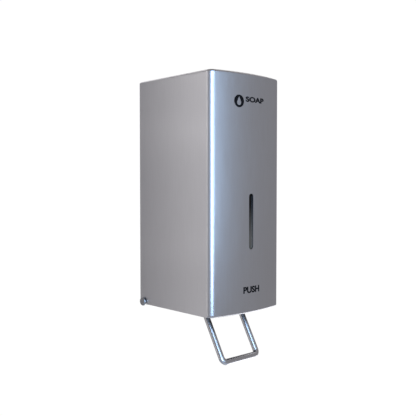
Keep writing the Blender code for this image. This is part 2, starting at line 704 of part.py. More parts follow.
def main():
    for existing in list(bpy.data.objects):
        bpy.data.objects.remove(existing)
    brushed = material("brushed_steel", (0.42, 0.42, 0.43), 0.34, 1.0)
    polished = material("polished_steel", (0.62, 0.62, 0.63), 0.12, 1.0)
    zinc = material("zinc_steel", (0.5, 0.5, 0.49), 0.4, 1.0)
    cast = material("cast_zinc", (0.3, 0.3, 0.31), 0.5, 1.0)
    brass = material("plug_brass", (0.7, 0.52, 0.26), 0.3, 1.0)
    chrome = material("lock_chrome", (0.7, 0.7, 0.71), 0.1, 1.0)
    smoked = material("smoked_window", (0.02, 0.02, 0.022), 0.12, 0.0)
    natural = material("tank_plastic", (0.82, 0.83, 0.8), 0.42, 0.0)
    white = material("white_plastic", (0.8, 0.8, 0.78), 0.35, 0.0)
    grey = material("grey_plastic", (0.2, 0.2, 0.21), 0.45, 0.0)
    rubber = material("black_rubber", (0.03, 0.03, 0.03), 0.7, 0.0)

    make_back_plate(brushed)
    for side, word in ((-1, "left"), (1, "right")):
        make_hinge(side, word, polished)
    make_shelf(zinc)
    front_of_bracket = -PLATE - GAP - BRACKET
    front_of_shelf = -PLATE - GAP - SHEET_SHELF
    shelf_names = ["shelf_nut_" + str(number) for number in (1, 2, 3, 4)]
    make_nuts(shelf_names, SHELF_STUDS, front_of_shelf, zinc)
    make_tank_clip(zinc)
    make_nuts(("clip_nut_left", "clip_nut_right"), CLIP_STUDS, front_of_bracket, zinc)
    make_strike(zinc)
    make_nuts(("strike_nut_left", "strike_nut_right"), STRIKE_STUDS, front_of_bracket, zinc)
    make_tank(natural)
    make_lid(grey, rubber, polished)
    make_pump_body(white, rubber)
    make_piston(white, rubber)
    make_spring(polished)
    make_bail(polished)
    make_yoke(cast, zinc)
    make_shaft(polished, white)
    make_cover(brushed)
    make_window(smoked, zinc)
    make_lock(chrome, brass, zinc)


main()
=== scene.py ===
"""Wall mounted soap dispenser: a brushed steel cover over a tank, a lift pump and a bail.

Pieces are modelled in millimetres, with heights from the cover's bottom edge, and `dress`
turns each finished piece into metres in the shared frame.
"""

from math import asin, cos, pi, radians, sin, sqrt, tan

import bmesh
import bpy
from mathutils import Matrix, Vector


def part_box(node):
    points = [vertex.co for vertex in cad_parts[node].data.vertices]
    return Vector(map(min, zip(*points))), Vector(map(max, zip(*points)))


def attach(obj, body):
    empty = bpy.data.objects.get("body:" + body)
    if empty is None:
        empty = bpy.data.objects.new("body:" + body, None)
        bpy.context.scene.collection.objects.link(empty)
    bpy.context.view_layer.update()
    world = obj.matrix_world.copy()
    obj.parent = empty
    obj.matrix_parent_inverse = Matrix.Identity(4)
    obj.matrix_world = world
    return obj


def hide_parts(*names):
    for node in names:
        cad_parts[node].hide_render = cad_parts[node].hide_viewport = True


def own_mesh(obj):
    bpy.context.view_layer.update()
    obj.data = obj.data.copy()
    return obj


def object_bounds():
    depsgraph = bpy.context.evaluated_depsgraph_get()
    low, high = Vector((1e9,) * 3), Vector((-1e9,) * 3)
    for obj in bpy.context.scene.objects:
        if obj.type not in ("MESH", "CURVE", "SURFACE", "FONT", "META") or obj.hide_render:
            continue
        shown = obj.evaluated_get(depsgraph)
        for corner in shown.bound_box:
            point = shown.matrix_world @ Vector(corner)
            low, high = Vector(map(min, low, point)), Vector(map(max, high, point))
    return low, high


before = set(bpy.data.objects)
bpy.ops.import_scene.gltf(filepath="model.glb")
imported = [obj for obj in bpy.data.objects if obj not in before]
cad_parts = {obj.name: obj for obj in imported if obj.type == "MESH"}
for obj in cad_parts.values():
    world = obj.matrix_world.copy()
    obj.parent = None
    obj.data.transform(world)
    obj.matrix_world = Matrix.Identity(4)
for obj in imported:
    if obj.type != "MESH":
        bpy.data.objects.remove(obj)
cad_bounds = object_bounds()


# ---------------------------------------------------------------- studio
# A plain white studio: a cool softbox and a dimmer fill in front, three panels that catch
# the rolled edges, a column of gridded strips at the left rear, an even grey surround that
# the steel reflects, and a pale floor well below.

scene = bpy.context.scene
scene.view_settings.view_transform = "Standard"

camera_data = bpy.data.cameras.new("camera")
camera_data.sensor_width = 36
camera_data.lens = 54.65
camera = bpy.data.objects.new("camera", camera_data)
camera.location = (-0.596, -0.7165, 0.013)
camera.rotation_euler = (radians(87.82), 0, radians(-42.76))
scene.collection.objects.link(camera)
scene.camera = camera


def softbox(name, place, aim, size, power, colour, spread=180):
    """A rectangular area light turned towards a point; a grid can narrow its spread."""
    data = bpy.data.lights.new(name, "AREA")
    data.shape = "RECTANGLE"
    data.size, data.size_y = size
    data.energy = power
    data.color = colour
    data.spread = radians(spread)
    lamp = bpy.data.objects.new(name, data)
    lamp.location = place
    lamp.rotation_euler = (Vector(aim) - Vector(place)).to_track_quat("-Z", "Y").to_euler()
    lamp.visible_camera = False
    scene.collection.objects.link(lamp)


def link(tree, source, target):
    """Join two sockets."""
    tree.links.new(source, target)


def show_white(tree, shader_type, reflected, target):
    """Let the camera see plain white where reflections see another shader."""
    path = tree.nodes.new("ShaderNodeLightPath")
    seen = tree.nodes.new(shader_type)
    seen.inputs["Color"].default_value = (1, 1, 1, 1)
    seen.inputs["Strength"].default_value = PURE_WHITE
    choice = tree.nodes.new("ShaderNodeMixShader")
    link(tree, path.outputs["Is Camera Ray"], choice.inputs[0])
    link(tree, reflected.outputs[0], choice.inputs[1])
    link(tree, seen.outputs[0], choice.inputs[2])
    link(tree, choice.outputs[0], target)


EYE_LEVEL = 0.168
FILL_LEVEL = 0.36
NEUTRAL = (1.0, 0.98, 1.0)
PURE_WHITE = 1.02
FLOOR_DROP = 0.9
FLOOR_RADIUS = 5.0

softbox("front_softbox", (-0.968, -1.361, EYE_LEVEL), (0, -0.08, EYE_LEVEL), (0.66, 1.2), 22,
        (0.42, 0.65, 1.0))
softbox("front_fill", (-0.075, -1.67, FILL_LEVEL), (0, -0.08, FILL_LEVEL), (0.26, 1.2), 4.2,
        (0.45, 0.68, 1.0))
softbox("rear_panel", (-0.05, 1.1, 1.1), (0, 0, 0.155), (0.9, 0.7), 1.9, NEUTRAL)
softbox("right_panel", (1.0, -0.05, 1.3), (0, -0.12, 0.155), (0.9, 0.7), 1.5, NEUTRAL)
softbox("low_panel", (0.75, -0.05, -0.9), (0, -0.14, -0.15), (0.8, 0.6), 3.0, NEUTRAL)
for height, aim, power in ((0.26, 0.13, 0.0092), (0.0, 0.0, 0.0066), (-0.27, -0.14, 0.0058)):
    softbox("left_strip", (-0.535, 0.225, height), (-0.064, -0.12, aim), (0.2, 0.28), power,
            (1.0, 0.97, 0.98), 30)

world = bpy.data.worlds.new("studio")
scene.world = world
world.use_nodes = True
tree = world.node_tree
tree.nodes.clear()
surround = tree.nodes.new("ShaderNodeBackground")
surround.inputs["Color"].default_value = (1.0, 0.965, 1.0, 1)
surround.inputs["Strength"].default_value = 0.3
world_out = tree.nodes.new("ShaderNodeOutputWorld")
show_white(tree, "ShaderNodeBackground", surround, world_out.inputs["Surface"])

floor_mesh = bpy.data.meshes.new("floor")
work = bmesh.new()
bmesh.ops.create_circle(work, cap_ends=True, segments=96, radius=FLOOR_RADIUS)
work.to_mesh(floor_mesh)
work.free()
floor_mesh.transform(Matrix.Translation((0, 0, cad_bounds[0][2] - FLOOR_DROP)))
floor = bpy.data.objects.new("floor", floor_mesh)
scene.collection.objects.link(floor)
floor_paint = bpy.data.materials.new("pale_floor")
floor_paint.use_nodes = True
tree = floor_paint.node_tree
matt = tree.nodes["Principled BSDF"]
matt.inputs["Base Color"].default_value = (0.8, 0.8, 0.8, 1)
matt.inputs["Roughness"].default_value = 0.9
matt.inputs["Emission Color"].default_value = (*NEUTRAL, 1)
matt.inputs["Emission Strength"].default_value = 0.06
show_white(tree, "ShaderNodeEmission", matt, tree.nodes["Material Output"].inputs["Surface"])
floor_mesh.materials.append(floor_paint)


# ---------------------------------------------------------------- cover
# One sheet of 1 mm stainless steel, brushed from top to bottom, folded round two tight
# corners with an arched front.  The top edges and the front's bottom edge are rolled over,
# and the sight slot, the hinge notches and the lock hole are punched.

MM = 0.001
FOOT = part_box("cover_shell")[0][2]


def box_mm(node):
    """A node's two corners in millimetres, heights from the cover's bottom edge."""
    return [(Vector(corner) - Vector((0, 0, FOOT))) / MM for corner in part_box(node)]


def work_object(mesh):
    """A working object for a mesh."""
    made = bpy.data.objects.new("work", mesh)
    scene.collection.objects.link(made)
    return made


def settle(made):
    """Turn an object with modifiers into a plain mesh object."""
    depsgraph = bpy.context.evaluated_depsgraph_get()
    mesh = bpy.data.meshes.new_from_object(made.evaluated_get(depsgraph))
    bpy.data.objects.remove(made)
    return work_object(mesh)


def from_bmesh(work):
    """A working object from a bmesh, which is freed."""
    mesh = bpy.data.meshes.new("work")
    work.to_mesh(mesh)
    work.free()
    return work_object(mesh)


def solid(work):
    """A working object from a bmesh whose faces are turned outward."""
    bmesh.ops.remove_doubles(work, verts=work.verts, dist=1e-4)
    bmesh.ops.recalc_face_normals(work, faces=work.faces)
    return from_bmesh(work)


def combine(target, tools, operation):
    """Apply exact Booleans to `target` one after the other and remove the tools."""
    for tool in tools:
        modifier = target.modifiers.new("combine", "BOOLEAN")
        modifier.operation = operation
        modifier.object = tool
    plain = settle(target)
    for tool in tools:
        bpy.data.objects.remove(tool)
    return plain


def join(target, *tools):
    """Unite solids that run into each other."""
    return combine(target, tools, "UNION")


def cut(target, *tools):
    """Take solids away from `target`."""
    return combine(target, tools, "DIFFERENCE")


def soften(made, width, segments=2):
    """Bevel the sharp edges of a solid."""
    bevel = made.modifiers.new("soften", "BEVEL")
    bevel.width = width
    bevel.segments = segments
    bevel.limit_method = "ANGLE"
    bevel.angle_limit = radians(40)
    return settle(made)


def dress(made, name, material, body, slot, *nodes):
    """Finish a piece in metres, shade it, hang it on its body and hide the nodes that it
    replaces.
    """
    mesh = made.data
    mesh.transform(Matrix.Translation((0, 0, FOOT)) @ Matrix.Scale(MM, 4))
    work = bmesh.new()
    work.from_mesh(mesh)
    bmesh.ops.remove_doubles(work, verts=work.verts, dist=1e-6)
    bmesh.ops.dissolve_degenerate(work, edges=work.edges, dist=1e-6)
    work.to_mesh(mesh)
    work.free()
    mesh.shade_smooth()
    mesh.set_sharp_from_angle(angle=radians(35))
    made.modifiers.new("even_shading", "WEIGHTED_NORMAL").keep_sharp = True
    made = settle(made)
    made.name = name
    made.data.name = name
    made.data.materials.clear()
    made.data.materials.append(material)
    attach(made, body)
    if nodes:
        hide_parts(*nodes)
    return made


def arc(centre, radius, start, end, steps):
    """Points on an arc, both ends included; angles in radians."""
    angles = [start + (end - start) * step / steps for step in range(steps + 1)]
    return [(centre[0] + radius * cos(a), centre[1] + radius * sin(a)) for a in angles]


def loft(levels):
    """A closed solid through outlines of equal length, each given with its height."""
    work = bmesh.new()
    loops = [[work.verts.new((x, y, h)) for x, y in outline] for h, outline in levels]
    count = len(loops[0])
    for lower, upper in zip(loops, loops[1:]):
        for a in range(count):
            b = (a + 1) % count
            work.faces.new((lower[a], lower[b], upper[b], upper[a]))
    work.faces.new(list(reversed(loops[0])))
    work.faces.new(loops[-1])
    return solid(work)


def prism(outline, low, high, axis):
    """Extrude an outline along an axis; its points are the other two axes, in order."""
    place = {
        "X": lambda a, b, along: (along, a, b),
        "Y": lambda a, b, along: (a, along, b),
        "Z": lambda a, b, along: (a, b, along),
    }[axis]
    work = bmesh.new()
    face = work.faces.new([work.verts.new(place(a, b, low)) for a, b in outline])
    grown = bmesh.ops.extrude_face_region(work, geom=[face])["geom"]
    moved = [item for item in grown if isinstance(item, bmesh.types.BMVert)]
    bmesh.ops.translate(work, vec=place(0, 0, high - low), verts=moved)
    return solid(work)


def block(x, y, h):
    """A box between two values on each axis."""
    return prism([(x[0], y[0]), (x[1], y[0]), (x[1], y[1]), (x[0], y[1])], h[0], h[1], "Z")


def rounded(points, radius, steps=4):
    """An outline with its corners eased, apart from corners on the axis of a turning."""
    eased = []
    for index, point in enumerate(points):
        here = Vector(point)
        before = Vector(points[index - 1]) - here
        after = Vector(points[(index + 1) % len(points)]) - here
        if here.x == 0 or radius == 0:
            eased.append(point)
            continue
        reach = radius / max(tan(before.angle(after, pi) / 2), 0.01)
        reach = min(reach, 0.45 * before.length, 0.45 * after.length)
        start = here + before.normalized() * reach
        end = here + after.normalized() * reach
        for step in range(steps + 1):
            t = step / steps
            eased.append(tuple(start * (1 - t) ** 2 + here * 2 * t * (1 - t) + end * t ** 2))
    return eased


def turned(profile, centre=(0, 0, 0), direction=(0, 0, 1), steps=64, edge=0.25):
    """A solid of revolution from a loop of (radius, distance along the axis).

    A loop that starts and ends on the axis gets a flat face at each end instead.
    """
    work = bmesh.new()
    outline = rounded(profile, edge)
    loop = [work.verts.new((radius, 0, along)) for radius, along in outline if radius > 0]
    edges = [work.edges.new(pair) for pair in zip(loop, loop[1:])]
    if len(loop) == len(outline):
        edges.append(work.edges.new((loop[-1], loop[0])))
    bmesh.ops.spin(work, geom=loop + edges, axis=(0, 0, 1), cent=(0, 0, 0),
                   angle=2 * pi, steps=steps)
    bmesh.ops.remove_doubles(work, verts=work.verts, dist=1e-4)
    rims = [rim for rim in work.edges if len(rim.link_faces) == 1]
    bmesh.ops.holes_fill(work, edges=rims, sides=steps)
    turn = Vector(direction).to_track_quat("Z", "Y").to_matrix()
    bmesh.ops.rotate(work, matrix=turn, cent=(0, 0, 0), verts=work.verts)
    bmesh.ops.translate(work, vec=centre, verts=work.verts)
    return solid(work)


def rod(radius, start, end, direction=(0, 0, 1), centre=(0, 0, 0), steps=48, edge=0.0):
    """A plain cylinder from `start` to `end` along an axis through `centre`."""
    outline = [(0, start), (radius, start), (radius, end), (0, end)]
    return turned(outline, centre, direction, steps, edge)


SHEET = 1.0
EDGE_ROLL = 3.0
LIP = 6.0
REAR_RETURN = 12.0
FRONT_BULGE = 9.4
CORNER_RADIUS = 8.8
FLAT_MARGIN = 0.4
LEDGE_STEP = 0.02
OUTER_STEPS = 8
INNER_STEPS = 6
cover_low, cover_high = box_mm("cover_shell")
HEIGHT = cover_high.z
HALF = cover_high.x
FRONT = cover_low.y
REAR_EDGE = cover_high.y
FRONT_RADIUS = (HALF ** 2 + FRONT_BULGE ** 2) / (2 * FRONT_BULGE)


def cover_plan(inset=0.0, shift=0.0, rear=REAR_EDGE):
    """The cover's plan outline; `shift` moves the front back towards the wall."""
    arch_y = FRONT + FRONT_RADIUS + shift
    reach = FRONT_RADIUS - CORNER_RADIUS
    corner_x = HALF - CORNER_RADIUS
    corner_y = arch_y - sqrt(reach ** 2 - corner_x ** 2)
    spread = asin(corner_x / reach)
    corner = CORNER_RADIUS - inset
    left = arc((-corner_x, corner_y), corner, pi, 1.5 * pi - spread, 16)
    front = arc((0, arch_y), FRONT_RADIUS - inset, 1.5 * pi - spread, 1.5 * pi + spread, 80)
    right = arc((corner_x, corner_y), corner, 1.5 * pi + spread, 2 * pi, 16)
    side = HALF - inset
    before = [(-side, rear), (-side, rear - FLAT_MARGIN), (-side, corner_y + FLAT_MARGIN)]
    after = [(side, corner_y + FLAT_MARGIN), (side, rear - FLAT_MARGIN), (side, rear)]
    return before + left + front[1:-1] + right + after


def quarter_turn(steps):
    """The angles of a quarter turn, from 0 up."""
    return [radians(90 * step / steps) for step in range(steps + 1)]


def cover_outside():
    """The outside of the folded cover."""
    levels = []
    for turn in reversed(quarter_turn(OUTER_STEPS)):
        shift = EDGE_ROLL * (1 - cos(turn))
        levels.append((EDGE_ROLL * (1 - sin(turn)), cover_plan(shift=shift)))
    levels.append((EDGE_ROLL + FLAT_MARGIN, cover_plan()))
    levels.append((HEIGHT - EDGE_ROLL - FLAT_MARGIN, cover_plan()))
    for turn in quarter_turn(OUTER_STEPS):
        inset = EDGE_ROLL * (1 - cos(turn))
        outline = cover_plan(inset=inset, rear=REAR_EDGE - inset)
        levels.append((HEIGHT - EDGE_ROLL * (1 - sin(turn)), outline))
    return loft(levels)


def cover_inside():
    """The space inside the sheet, open below and at the rear up to the rear return."""
    inner_roll = EDGE_ROLL - SHEET
    past_wall = 6.0
    lip_edge = cover_plan(SHEET, LIP - SHEET, past_wall)
    levels = [(-4.0, lip_edge), (SHEET, lip_edge)]
    for turn in reversed(quarter_turn(INNER_STEPS)):
        height = LEDGE_STEP + EDGE_ROLL - inner_roll * sin(turn)
        levels.append((height, cover_plan(SHEET, inner_roll * (1 - cos(turn)), past_wall)))
    ledge = HEIGHT - REAR_RETURN
    inner_rear = REAR_EDGE - SHEET
    levels.append((ledge, cover_plan(SHEET, 0, past_wall)))
    levels.append((ledge + LEDGE_STEP, cover_plan(SHEET, 0, inner_rear)))
    for turn in quarter_turn(INNER_STEPS):
        inset = inner_roll * (1 - cos(turn))
        outline = cover_plan(SHEET + inset, 0, inner_rear - inset)
        levels.append((HEIGHT - EDGE_ROLL + inner_roll * sin(turn), outline))
    return loft(levels)


SLOT_WIDTH = 8.0
SLOT_LENGTH = 72.5
SLOT_MIDDLE = 119.3


def slot_tool():
    """The punch of the sight slot, with round ends."""
    radius = SLOT_WIDTH / 2
    reach = SLOT_LENGTH / 2 - radius
    upper = arc((0, SLOT_MIDDLE + reach), radius, 0, pi, 24)
    lower = arc((0, SLOT_MIDDLE - reach), radius, pi, 2 * pi, 24)
    return prism(upper + lower, FRONT - 15, FRONT + 15, "Y")


HINGE = sum(box_mm("hinge_pin_left"), Vector()) / 2
NOTCH_SLOPE = radians(35)
NOTCH_RADIUS = 3.0


def notch_tool():
    """The punch of both hinge notches, which slant forward and down to the edge."""
    run = 30.0
    seat = arc((HINGE.y, HINGE.z), NOTCH_RADIUS, pi / 2 + NOTCH_SLOPE,
               -pi / 2 + NOTCH_SLOPE, 20)
    step = Vector((-cos(NOTCH_SLOPE), -sin(NOTCH_SLOPE))) * run
    far = [tuple(Vector(seat[-1]) + step), tuple(Vector(seat[0]) + step)]
    return prism(seat + far, -2 * HALF, 2 * HALF, "X")


LOCK = sum(box_mm("lock_body"), Vector()) / 2
LOCK_HOLE = 9.3
SIDES = ((-1, "left"), (1, "right"))
sheet = cut(cover_outside(), cover_inside(), slot_tool(), notch_tool(),
            rod(LOCK_HOLE, HEIGHT - 10, HEIGHT + 10, centre=(0, LOCK.y, 0)))


def new_effect(name, *inputs):
    """A shader group that turns named values into a Mask and a Normal."""
    effect = bpy.data.node_groups.new(name, "ShaderNodeTree")
    for label in inputs:
        effect.interface.new_socket(label, in_out="INPUT", socket_type="NodeSocketFloat")
    effect.interface.new_socket("Mask", in_out="OUTPUT", socket_type="NodeSocketFloat")
    effect.interface.new_socket("Normal", in_out="OUTPUT", socket_type="NodeSocketVector")
    given = effect.nodes.new("NodeGroupInput")
    place = effect.nodes.new("ShaderNodeTexCoord")
    noise = effect.nodes.new("ShaderNodeTexNoise")
    noise.inputs["Detail"].default_value = 4.0
    noise.inputs["Roughness"].default_value = 0.65
    spread = effect.nodes.new("ShaderNodeMapRange")
    spread.inputs["From Min"].default_value = 0.3
    spread.inputs["From Max"].default_value = 0.7
    relief = effect.nodes.new("ShaderNodeBump")
    relief.inputs["Distance"].default_value = 0.0001
    result = effect.nodes.new("NodeGroupOutput")
    link(effect, noise.outputs["Fac"], spread.inputs["Value"])
    link(effect, spread.outputs[0], relief.inputs["Height"])
    link(effect, given.outputs["Depth"], relief.inputs["Strength"])
    link(effect, spread.outputs[0], result.inputs["Mask"])
    link(effect, relief.outputs[0], result.inputs["Normal"])
    return effect, given, place.outputs["Object"], noise


def brushed_grain():
    """Long strokes along Z: `Across` and `Along` are strokes in a metre."""
    effect, given, place, noise = new_effect("brushed_grain", "Across", "Along", "Depth")
    stretch = effect.nodes.new("ShaderNodeCombineXYZ")
    link(effect, given.outputs["Across"], stretch.inputs[0])
    link(effect, given.outputs["Across"], stretch.inputs[1])
    link(effect, given.outputs["Along"], stretch.inputs[2])
    scaled = effect.nodes.new("ShaderNodeVectorMath")
    scaled.operation = "MULTIPLY"
    link(effect, place, scaled.inputs[0])
    link(effect, stretch.outputs[0], scaled.inputs[1])
    link(effect, scaled.outputs[0], noise.inputs["Vector"])
    noise.inputs["Scale"].default_value = 1.0
    return effect


GRAIN = brushed_grain()


def surface(name, effect, settings, colours, roughness, metallic=0.0, **uniform):
    """A Principled material whose colour and roughness follow an effect's mask.

    Colours and roughness are given as (low, high) pairs; uniform values go straight to the
    shader's own sockets, named with underscores for spaces.
    """
    made = bpy.data.materials.new(name)
    made.use_nodes = True
    tree = made.node_tree
    shader = tree.nodes["Principled BSDF"]
    shader.inputs["Metallic"].default_value = metallic
    for label, value in uniform.items():
        shader.inputs[label.replace("_", " ")].default_value = value
    texture = tree.nodes.new("ShaderNodeGroup")
    texture.node_tree = effect
    for label, value in settings.items():
        texture.inputs[label].default_value = value
    mix = tree.nodes.new("ShaderNodeMix")
    mix.data_type = "RGBA"
    low, high = (socket for socket in mix.inputs if socket.identifier in ("A_Color", "B_Color"))
    low.default_value = (*colours[0], 1)
    high.default_value = (*colours[1], 1)
    link(tree, texture.outputs["Mask"], mix.inputs["Factor"])
    rough = tree.nodes.new("ShaderNodeMapRange")
    rough.inputs["To Min"].default_value, rough.inputs["To Max"].default_value = roughness
    link(tree, texture.outputs["Mask"], rough.inputs["Value"])
    colour = [socket for socket in mix.outputs if socket.identifier == "Result_Color"][0]
    link(tree, colour, shader.inputs["Base Color"])
    link(tree, rough.outputs[0], shader.inputs["Roughness"])
    link(tree, texture.outputs["Normal"], shader.inputs["Normal"])
    return made


def brush_round_z(material, strength):
    """Spread a material's highlights sideways, as strokes along Z do."""
    tree = material.node_tree
    shader = tree.nodes["Principled BSDF"]
    shader.inputs["Anisotropic"].default_value = strength
    tangent = tree.nodes.new("ShaderNodeTangent")
    tangent.direction_type = "RADIAL"
    tangent.axis = "Z"
    link(tree, tangent.outputs[0], shader.inputs["Tangent"])


BRUSHED = surface("brushed_stainless", GRAIN, {"Across": 1500, "Along": 30, "Depth": 0.02},
                  ((0.575, 0.57, 0.575), (0.61, 0.605, 0.61)), (0.28, 0.34), 1.0)
brush_round_z(BRUSHED, 0.65)
dress(sheet, "cover_sheet", BRUSHED, "cover", "brushed_steel", "cover_shell")


# ---------------------------------------------------------------- legends
# Screen printed in black on the cover's front: a round badge with a soap drop, the word
# beside it, and the legend above the bail.  Each is a film of ink on the sheet.

PRINT = 0.05


def wrap_print(made):
    """Bend a flat outline drawn in X and height onto the arched front."""
    work = bmesh.new()
    work.from_mesh(made.data)
    bpy.data.objects.remove(made)
    for x in range(int(-HALF), int(HALF), 2):
        parts = list(work.verts) + list(work.edges) + list(work.faces)
        bmesh.ops.bisect_plane(work, geom=parts, plane_co=(x, 0, 0), plane_no=(1, 0, 0))
    for vert in work.verts:
        depth = sqrt((FRONT_RADIUS + PRINT) ** 2 - vert.co.x ** 2)
        vert.co.y = FRONT + FRONT_RADIUS - depth
    work.normal_update()
    turned_back = [face for face in work.faces if face.normal.y > 0]
    bmesh.ops.reverse_faces(work, faces=turned_back)
    return from_bmesh(work)


def legend(words, height, centre_x, centre_h, widen, weight):
    """Words on the front, `height` tall; `weight` thickens their strokes."""
    text = bpy.data.curves.new("words", "FONT")
    text.body = words
    text.offset = weight
    text_object = bpy.data.objects.new("words", text)
    scene.collection.objects.link(text_object)
    drawn = settle(text_object)
    points = [vert.co for vert in drawn.data.vertices]
    low = Vector((min(co.x for co in points), min(co.y for co in points)))
    high = Vector((max(co.x for co in points), max(co.y for co in points)))
    size = height / (high.y - low.y)
    middle = (low + high) / 2
    for co in points:
        across = (co.x - middle.x) * size * widen + centre_x
        co.z = (co.y - middle.y) * size + centre_h
        co.x = across
        co.y = 0
    return wrap_print(drawn)


def badge(centre_x, centre_h, radius):
    """A disc with the shape of a drop left open in it."""
    work = bmesh.new()
    disc = arc((centre_x, centre_h), radius, 0, 2 * pi, 64)[:-1]
    foot = 0.42 * radius
    drop = arc((centre_x, centre_h - 0.22 * radius), foot, radians(150), radians(390), 28)
    drop.append((centre_x, centre_h + 0.74 * radius))
    edges = []
    for outline in (disc, drop):
        verts = [work.verts.new((x, 0, h)) for x, h in outline]
        edges += [work.edges.new(pair) for pair in zip(verts, verts[1:] + verts[:1])]
    bmesh.ops.triangle_fill(work, use_beauty=True, use_dissolve=False, edges=edges)
    return wrap_print(solid(work))


def fine_texture(name, *more_inputs):
    """Even mottling: `Scale` is cells in a metre."""
    effect, given, place, noise = new_effect(name, "Scale", "Depth", *more_inputs)
    link(effect, place, noise.inputs["Vector"])
    link(effect, given.outputs["Scale"], noise.inputs["Scale"])
    return effect, given, place


MOTTLE = fine_texture("fine_texture")[0]
INK = surface("black_ink", MOTTLE, {"Scale": 2500, "Depth": 0.1},
              ((0.004, 0.004, 0.005), (0.008, 0.008, 0.009)), (0.65, 0.8),
              Specular_IOR_Level=0.12)
push = legend("PUSH", height=8.8, centre_x=1.2, centre_h=30.8, widen=1.15, weight=0.045)
word = legend("SOAP", height=7.0, centre_x=7.0, centre_h=276.4, widen=1.6, weight=0.05)
drop = badge(centre_x=-21.5, centre_h=273.0, radius=8.0)
for made, name in ((push, "push_legend"), (word, "soap_legend"), (drop, "drop_badge")):
    dress(made, name, INK, "cover", "black_rubber")


# ---------------------------------------------------------------- sight window
# A strip of smoked acrylic behind the slot, held at its ends by two zinc plated straps that are
# spot welded to the inside of the sheet.  Its colour runs from black at the top to grey below:
# painted light, a painted reflection of light from below.

ZINC = surface("zinc_plate", MOTTLE, {"Scale": 220, "Depth": 0.05},
               ((0.46, 0.46, 0.45), (0.62, 0.62, 0.6)), (0.28, 0.42), 1.0)
# Middle and half height of the painted light, a painted reflection that lightens the window
# towards its foot.
FADE_MIDDLE = FOOT + SLOT_MIDDLE * MM
FADE_HALF = 0.29 * SLOT_LENGTH * MM


def output_of(group):
    """The output node of a node group."""
    return next(node for node in group.nodes if node.bl_idname == "NodeGroupOutput")


def soap_film():
    """Fine mottling under painted light: colour dark at `Top` and lighter towards `Foot`, a
    painted reflection of light from below.
    """
    effect, given, place = fine_texture("soap_film", "Foot", "Top")
    split = effect.nodes.new("ShaderNodeSeparateXYZ")
    fade = effect.nodes.new("ShaderNodeMapRange")
    link(effect, place, split.inputs[0])
    link(effect, split.outputs["Z"], fade.inputs["Value"])
    link(effect, given.outputs["Top"], fade.inputs["From Min"])
    link(effect, given.outputs["Foot"], fade.inputs["From Max"])
    link(effect, fade.outputs[0], output_of(effect).inputs["Mask"])
    return effect


# The window's colour fades from black at the top to warm grey at the bottom: painted light,
# standing for a reflection of light from below.
SMOKED = surface("smoked_acrylic", soap_film(),
                 {"Scale": 90, "Depth": 0.002, "Foot": FADE_MIDDLE - FADE_HALF,
                  "Top": FADE_MIDDLE + FADE_HALF},
                 ((0.002, 0.002, 0.002), (0.118, 0.098, 0.075)), (0.3, 0.36),
                 Specular_IOR_Level=0.2)


def pane():
    """The strip with broken edges."""
    low, high = box_mm("sight_window")
    return soften(block((low.x, high.x), (low.y, high.y), (low.z, high.z)), 0.3)


def window_strap(node):
    """A strap bent back over the pane, with a wing at each side."""
    low, high = box_mm(node)
    thick = 0.8
    tip = high.x
    turn = tip - 6.0
    bridge = high.y - thick
    outline = [(-tip, low.y), (-turn, low.y), (-turn, bridge), (turn, bridge), (turn, low.y),
               (tip, low.y), (tip, low.y + thick), (turn + thick, low.y + thick),
               (turn + thick, high.y), (-turn - thick, high.y),
               (-turn - thick, low.y + thick), (-tip, low.y + thick)]
    return prism(rounded(outline, 0.3), low.z, high.z, "Z")


dress(pane(), "window_pane", SMOKED, "cover", "smoked_window", "sight_window")
for end in ("top", "bottom"):
    node = "window_clip_" + end
    dress(window_strap(node), "window_strap_" + end, ZINC, "cover", "zinc_steel", node)


# ---------------------------------------------------------------- bail
# One 8 mm stainless rod bent to a U and polished; its legs lean forward out of the cover
# and end in the yoke's sockets.

ROD = 4.0
BAIL_LEAN = radians(29.8)
BAIL_BEND = 6.5


def new_tool(name, **inputs):
    """An empty Geometry Nodes group with named inputs, each given with its socket's kind."""
    tool = bpy.data.node_groups.new(name, "GeometryNodeTree")
    for label, kind in {"Geometry": "Geometry", **inputs, "Material": "Material"}.items():
        tool.interface.new_socket(label, in_out="INPUT", socket_type="NodeSocket" + kind)
    tool.interface.new_socket("Geometry", in_out="OUTPUT", socket_type="NodeSocketGeometry")
    tool.nodes.new("NodeGroupOutput")
    return tool, tool.nodes.new("NodeGroupInput")


def end_tool(tool, given, geometry):
    """Realize what a tool made, give it its material, and finish the tool."""
    realize = tool.nodes.new("GeometryNodeRealizeInstances")
    paint = tool.nodes.new("GeometryNodeSetMaterial")
    link(tool, geometry, realize.inputs[0])
    link(tool, realize.outputs[0], paint.inputs["Geometry"])
    link(tool, given.outputs["Material"], paint.inputs["Material"])
    link(tool, paint.outputs[0], output_of(tool).inputs[0])
    return tool


def apply_tool(made, tool, values):
    """Run a tool on an object and keep the mesh that it makes."""
    modifier = made.modifiers.new("tool", "NODES")
    modifier.node_group = tool
    for item in tool.interface.items_tree:
        if item.in_out == "INPUT" and item.name in values:
            modifier[item.identifier] = values[item.name]
    return settle(made)


def points_object(points, joined):
    """Vertices at the points, joined in order by edges if asked."""
    mesh = bpy.data.meshes.new("work")
    pairs = [(a, a + 1) for a in range(len(points) - 1)] if joined else []
    mesh.from_pydata(points, pairs, [])
    return work_object(mesh)


def sweep_tool():
    """Sweep a circle along a line of edges and fill its ends."""
    tool, given = new_tool("sweep", Radius="Float", Sides="Int")
    line = tool.nodes.new("GeometryNodeMeshToCurve")
    circle = tool.nodes.new("GeometryNodeCurvePrimitiveCircle")
    sweep = tool.nodes.new("GeometryNodeCurveToMesh")
    sweep.inputs["Fill Caps"].default_value = True
    link(tool, given.outputs["Geometry"], line.inputs["Mesh"])
    link(tool, given.outputs["Radius"], circle.inputs["Radius"])
    link(tool, given.outputs["Sides"], circle.inputs["Resolution"])
    link(tool, line.outputs[0], sweep.inputs["Curve"])
    link(tool, circle.outputs["Curve"], sweep.inputs["Profile Curve"])
    return end_tool(tool, given, sweep.outputs[0])


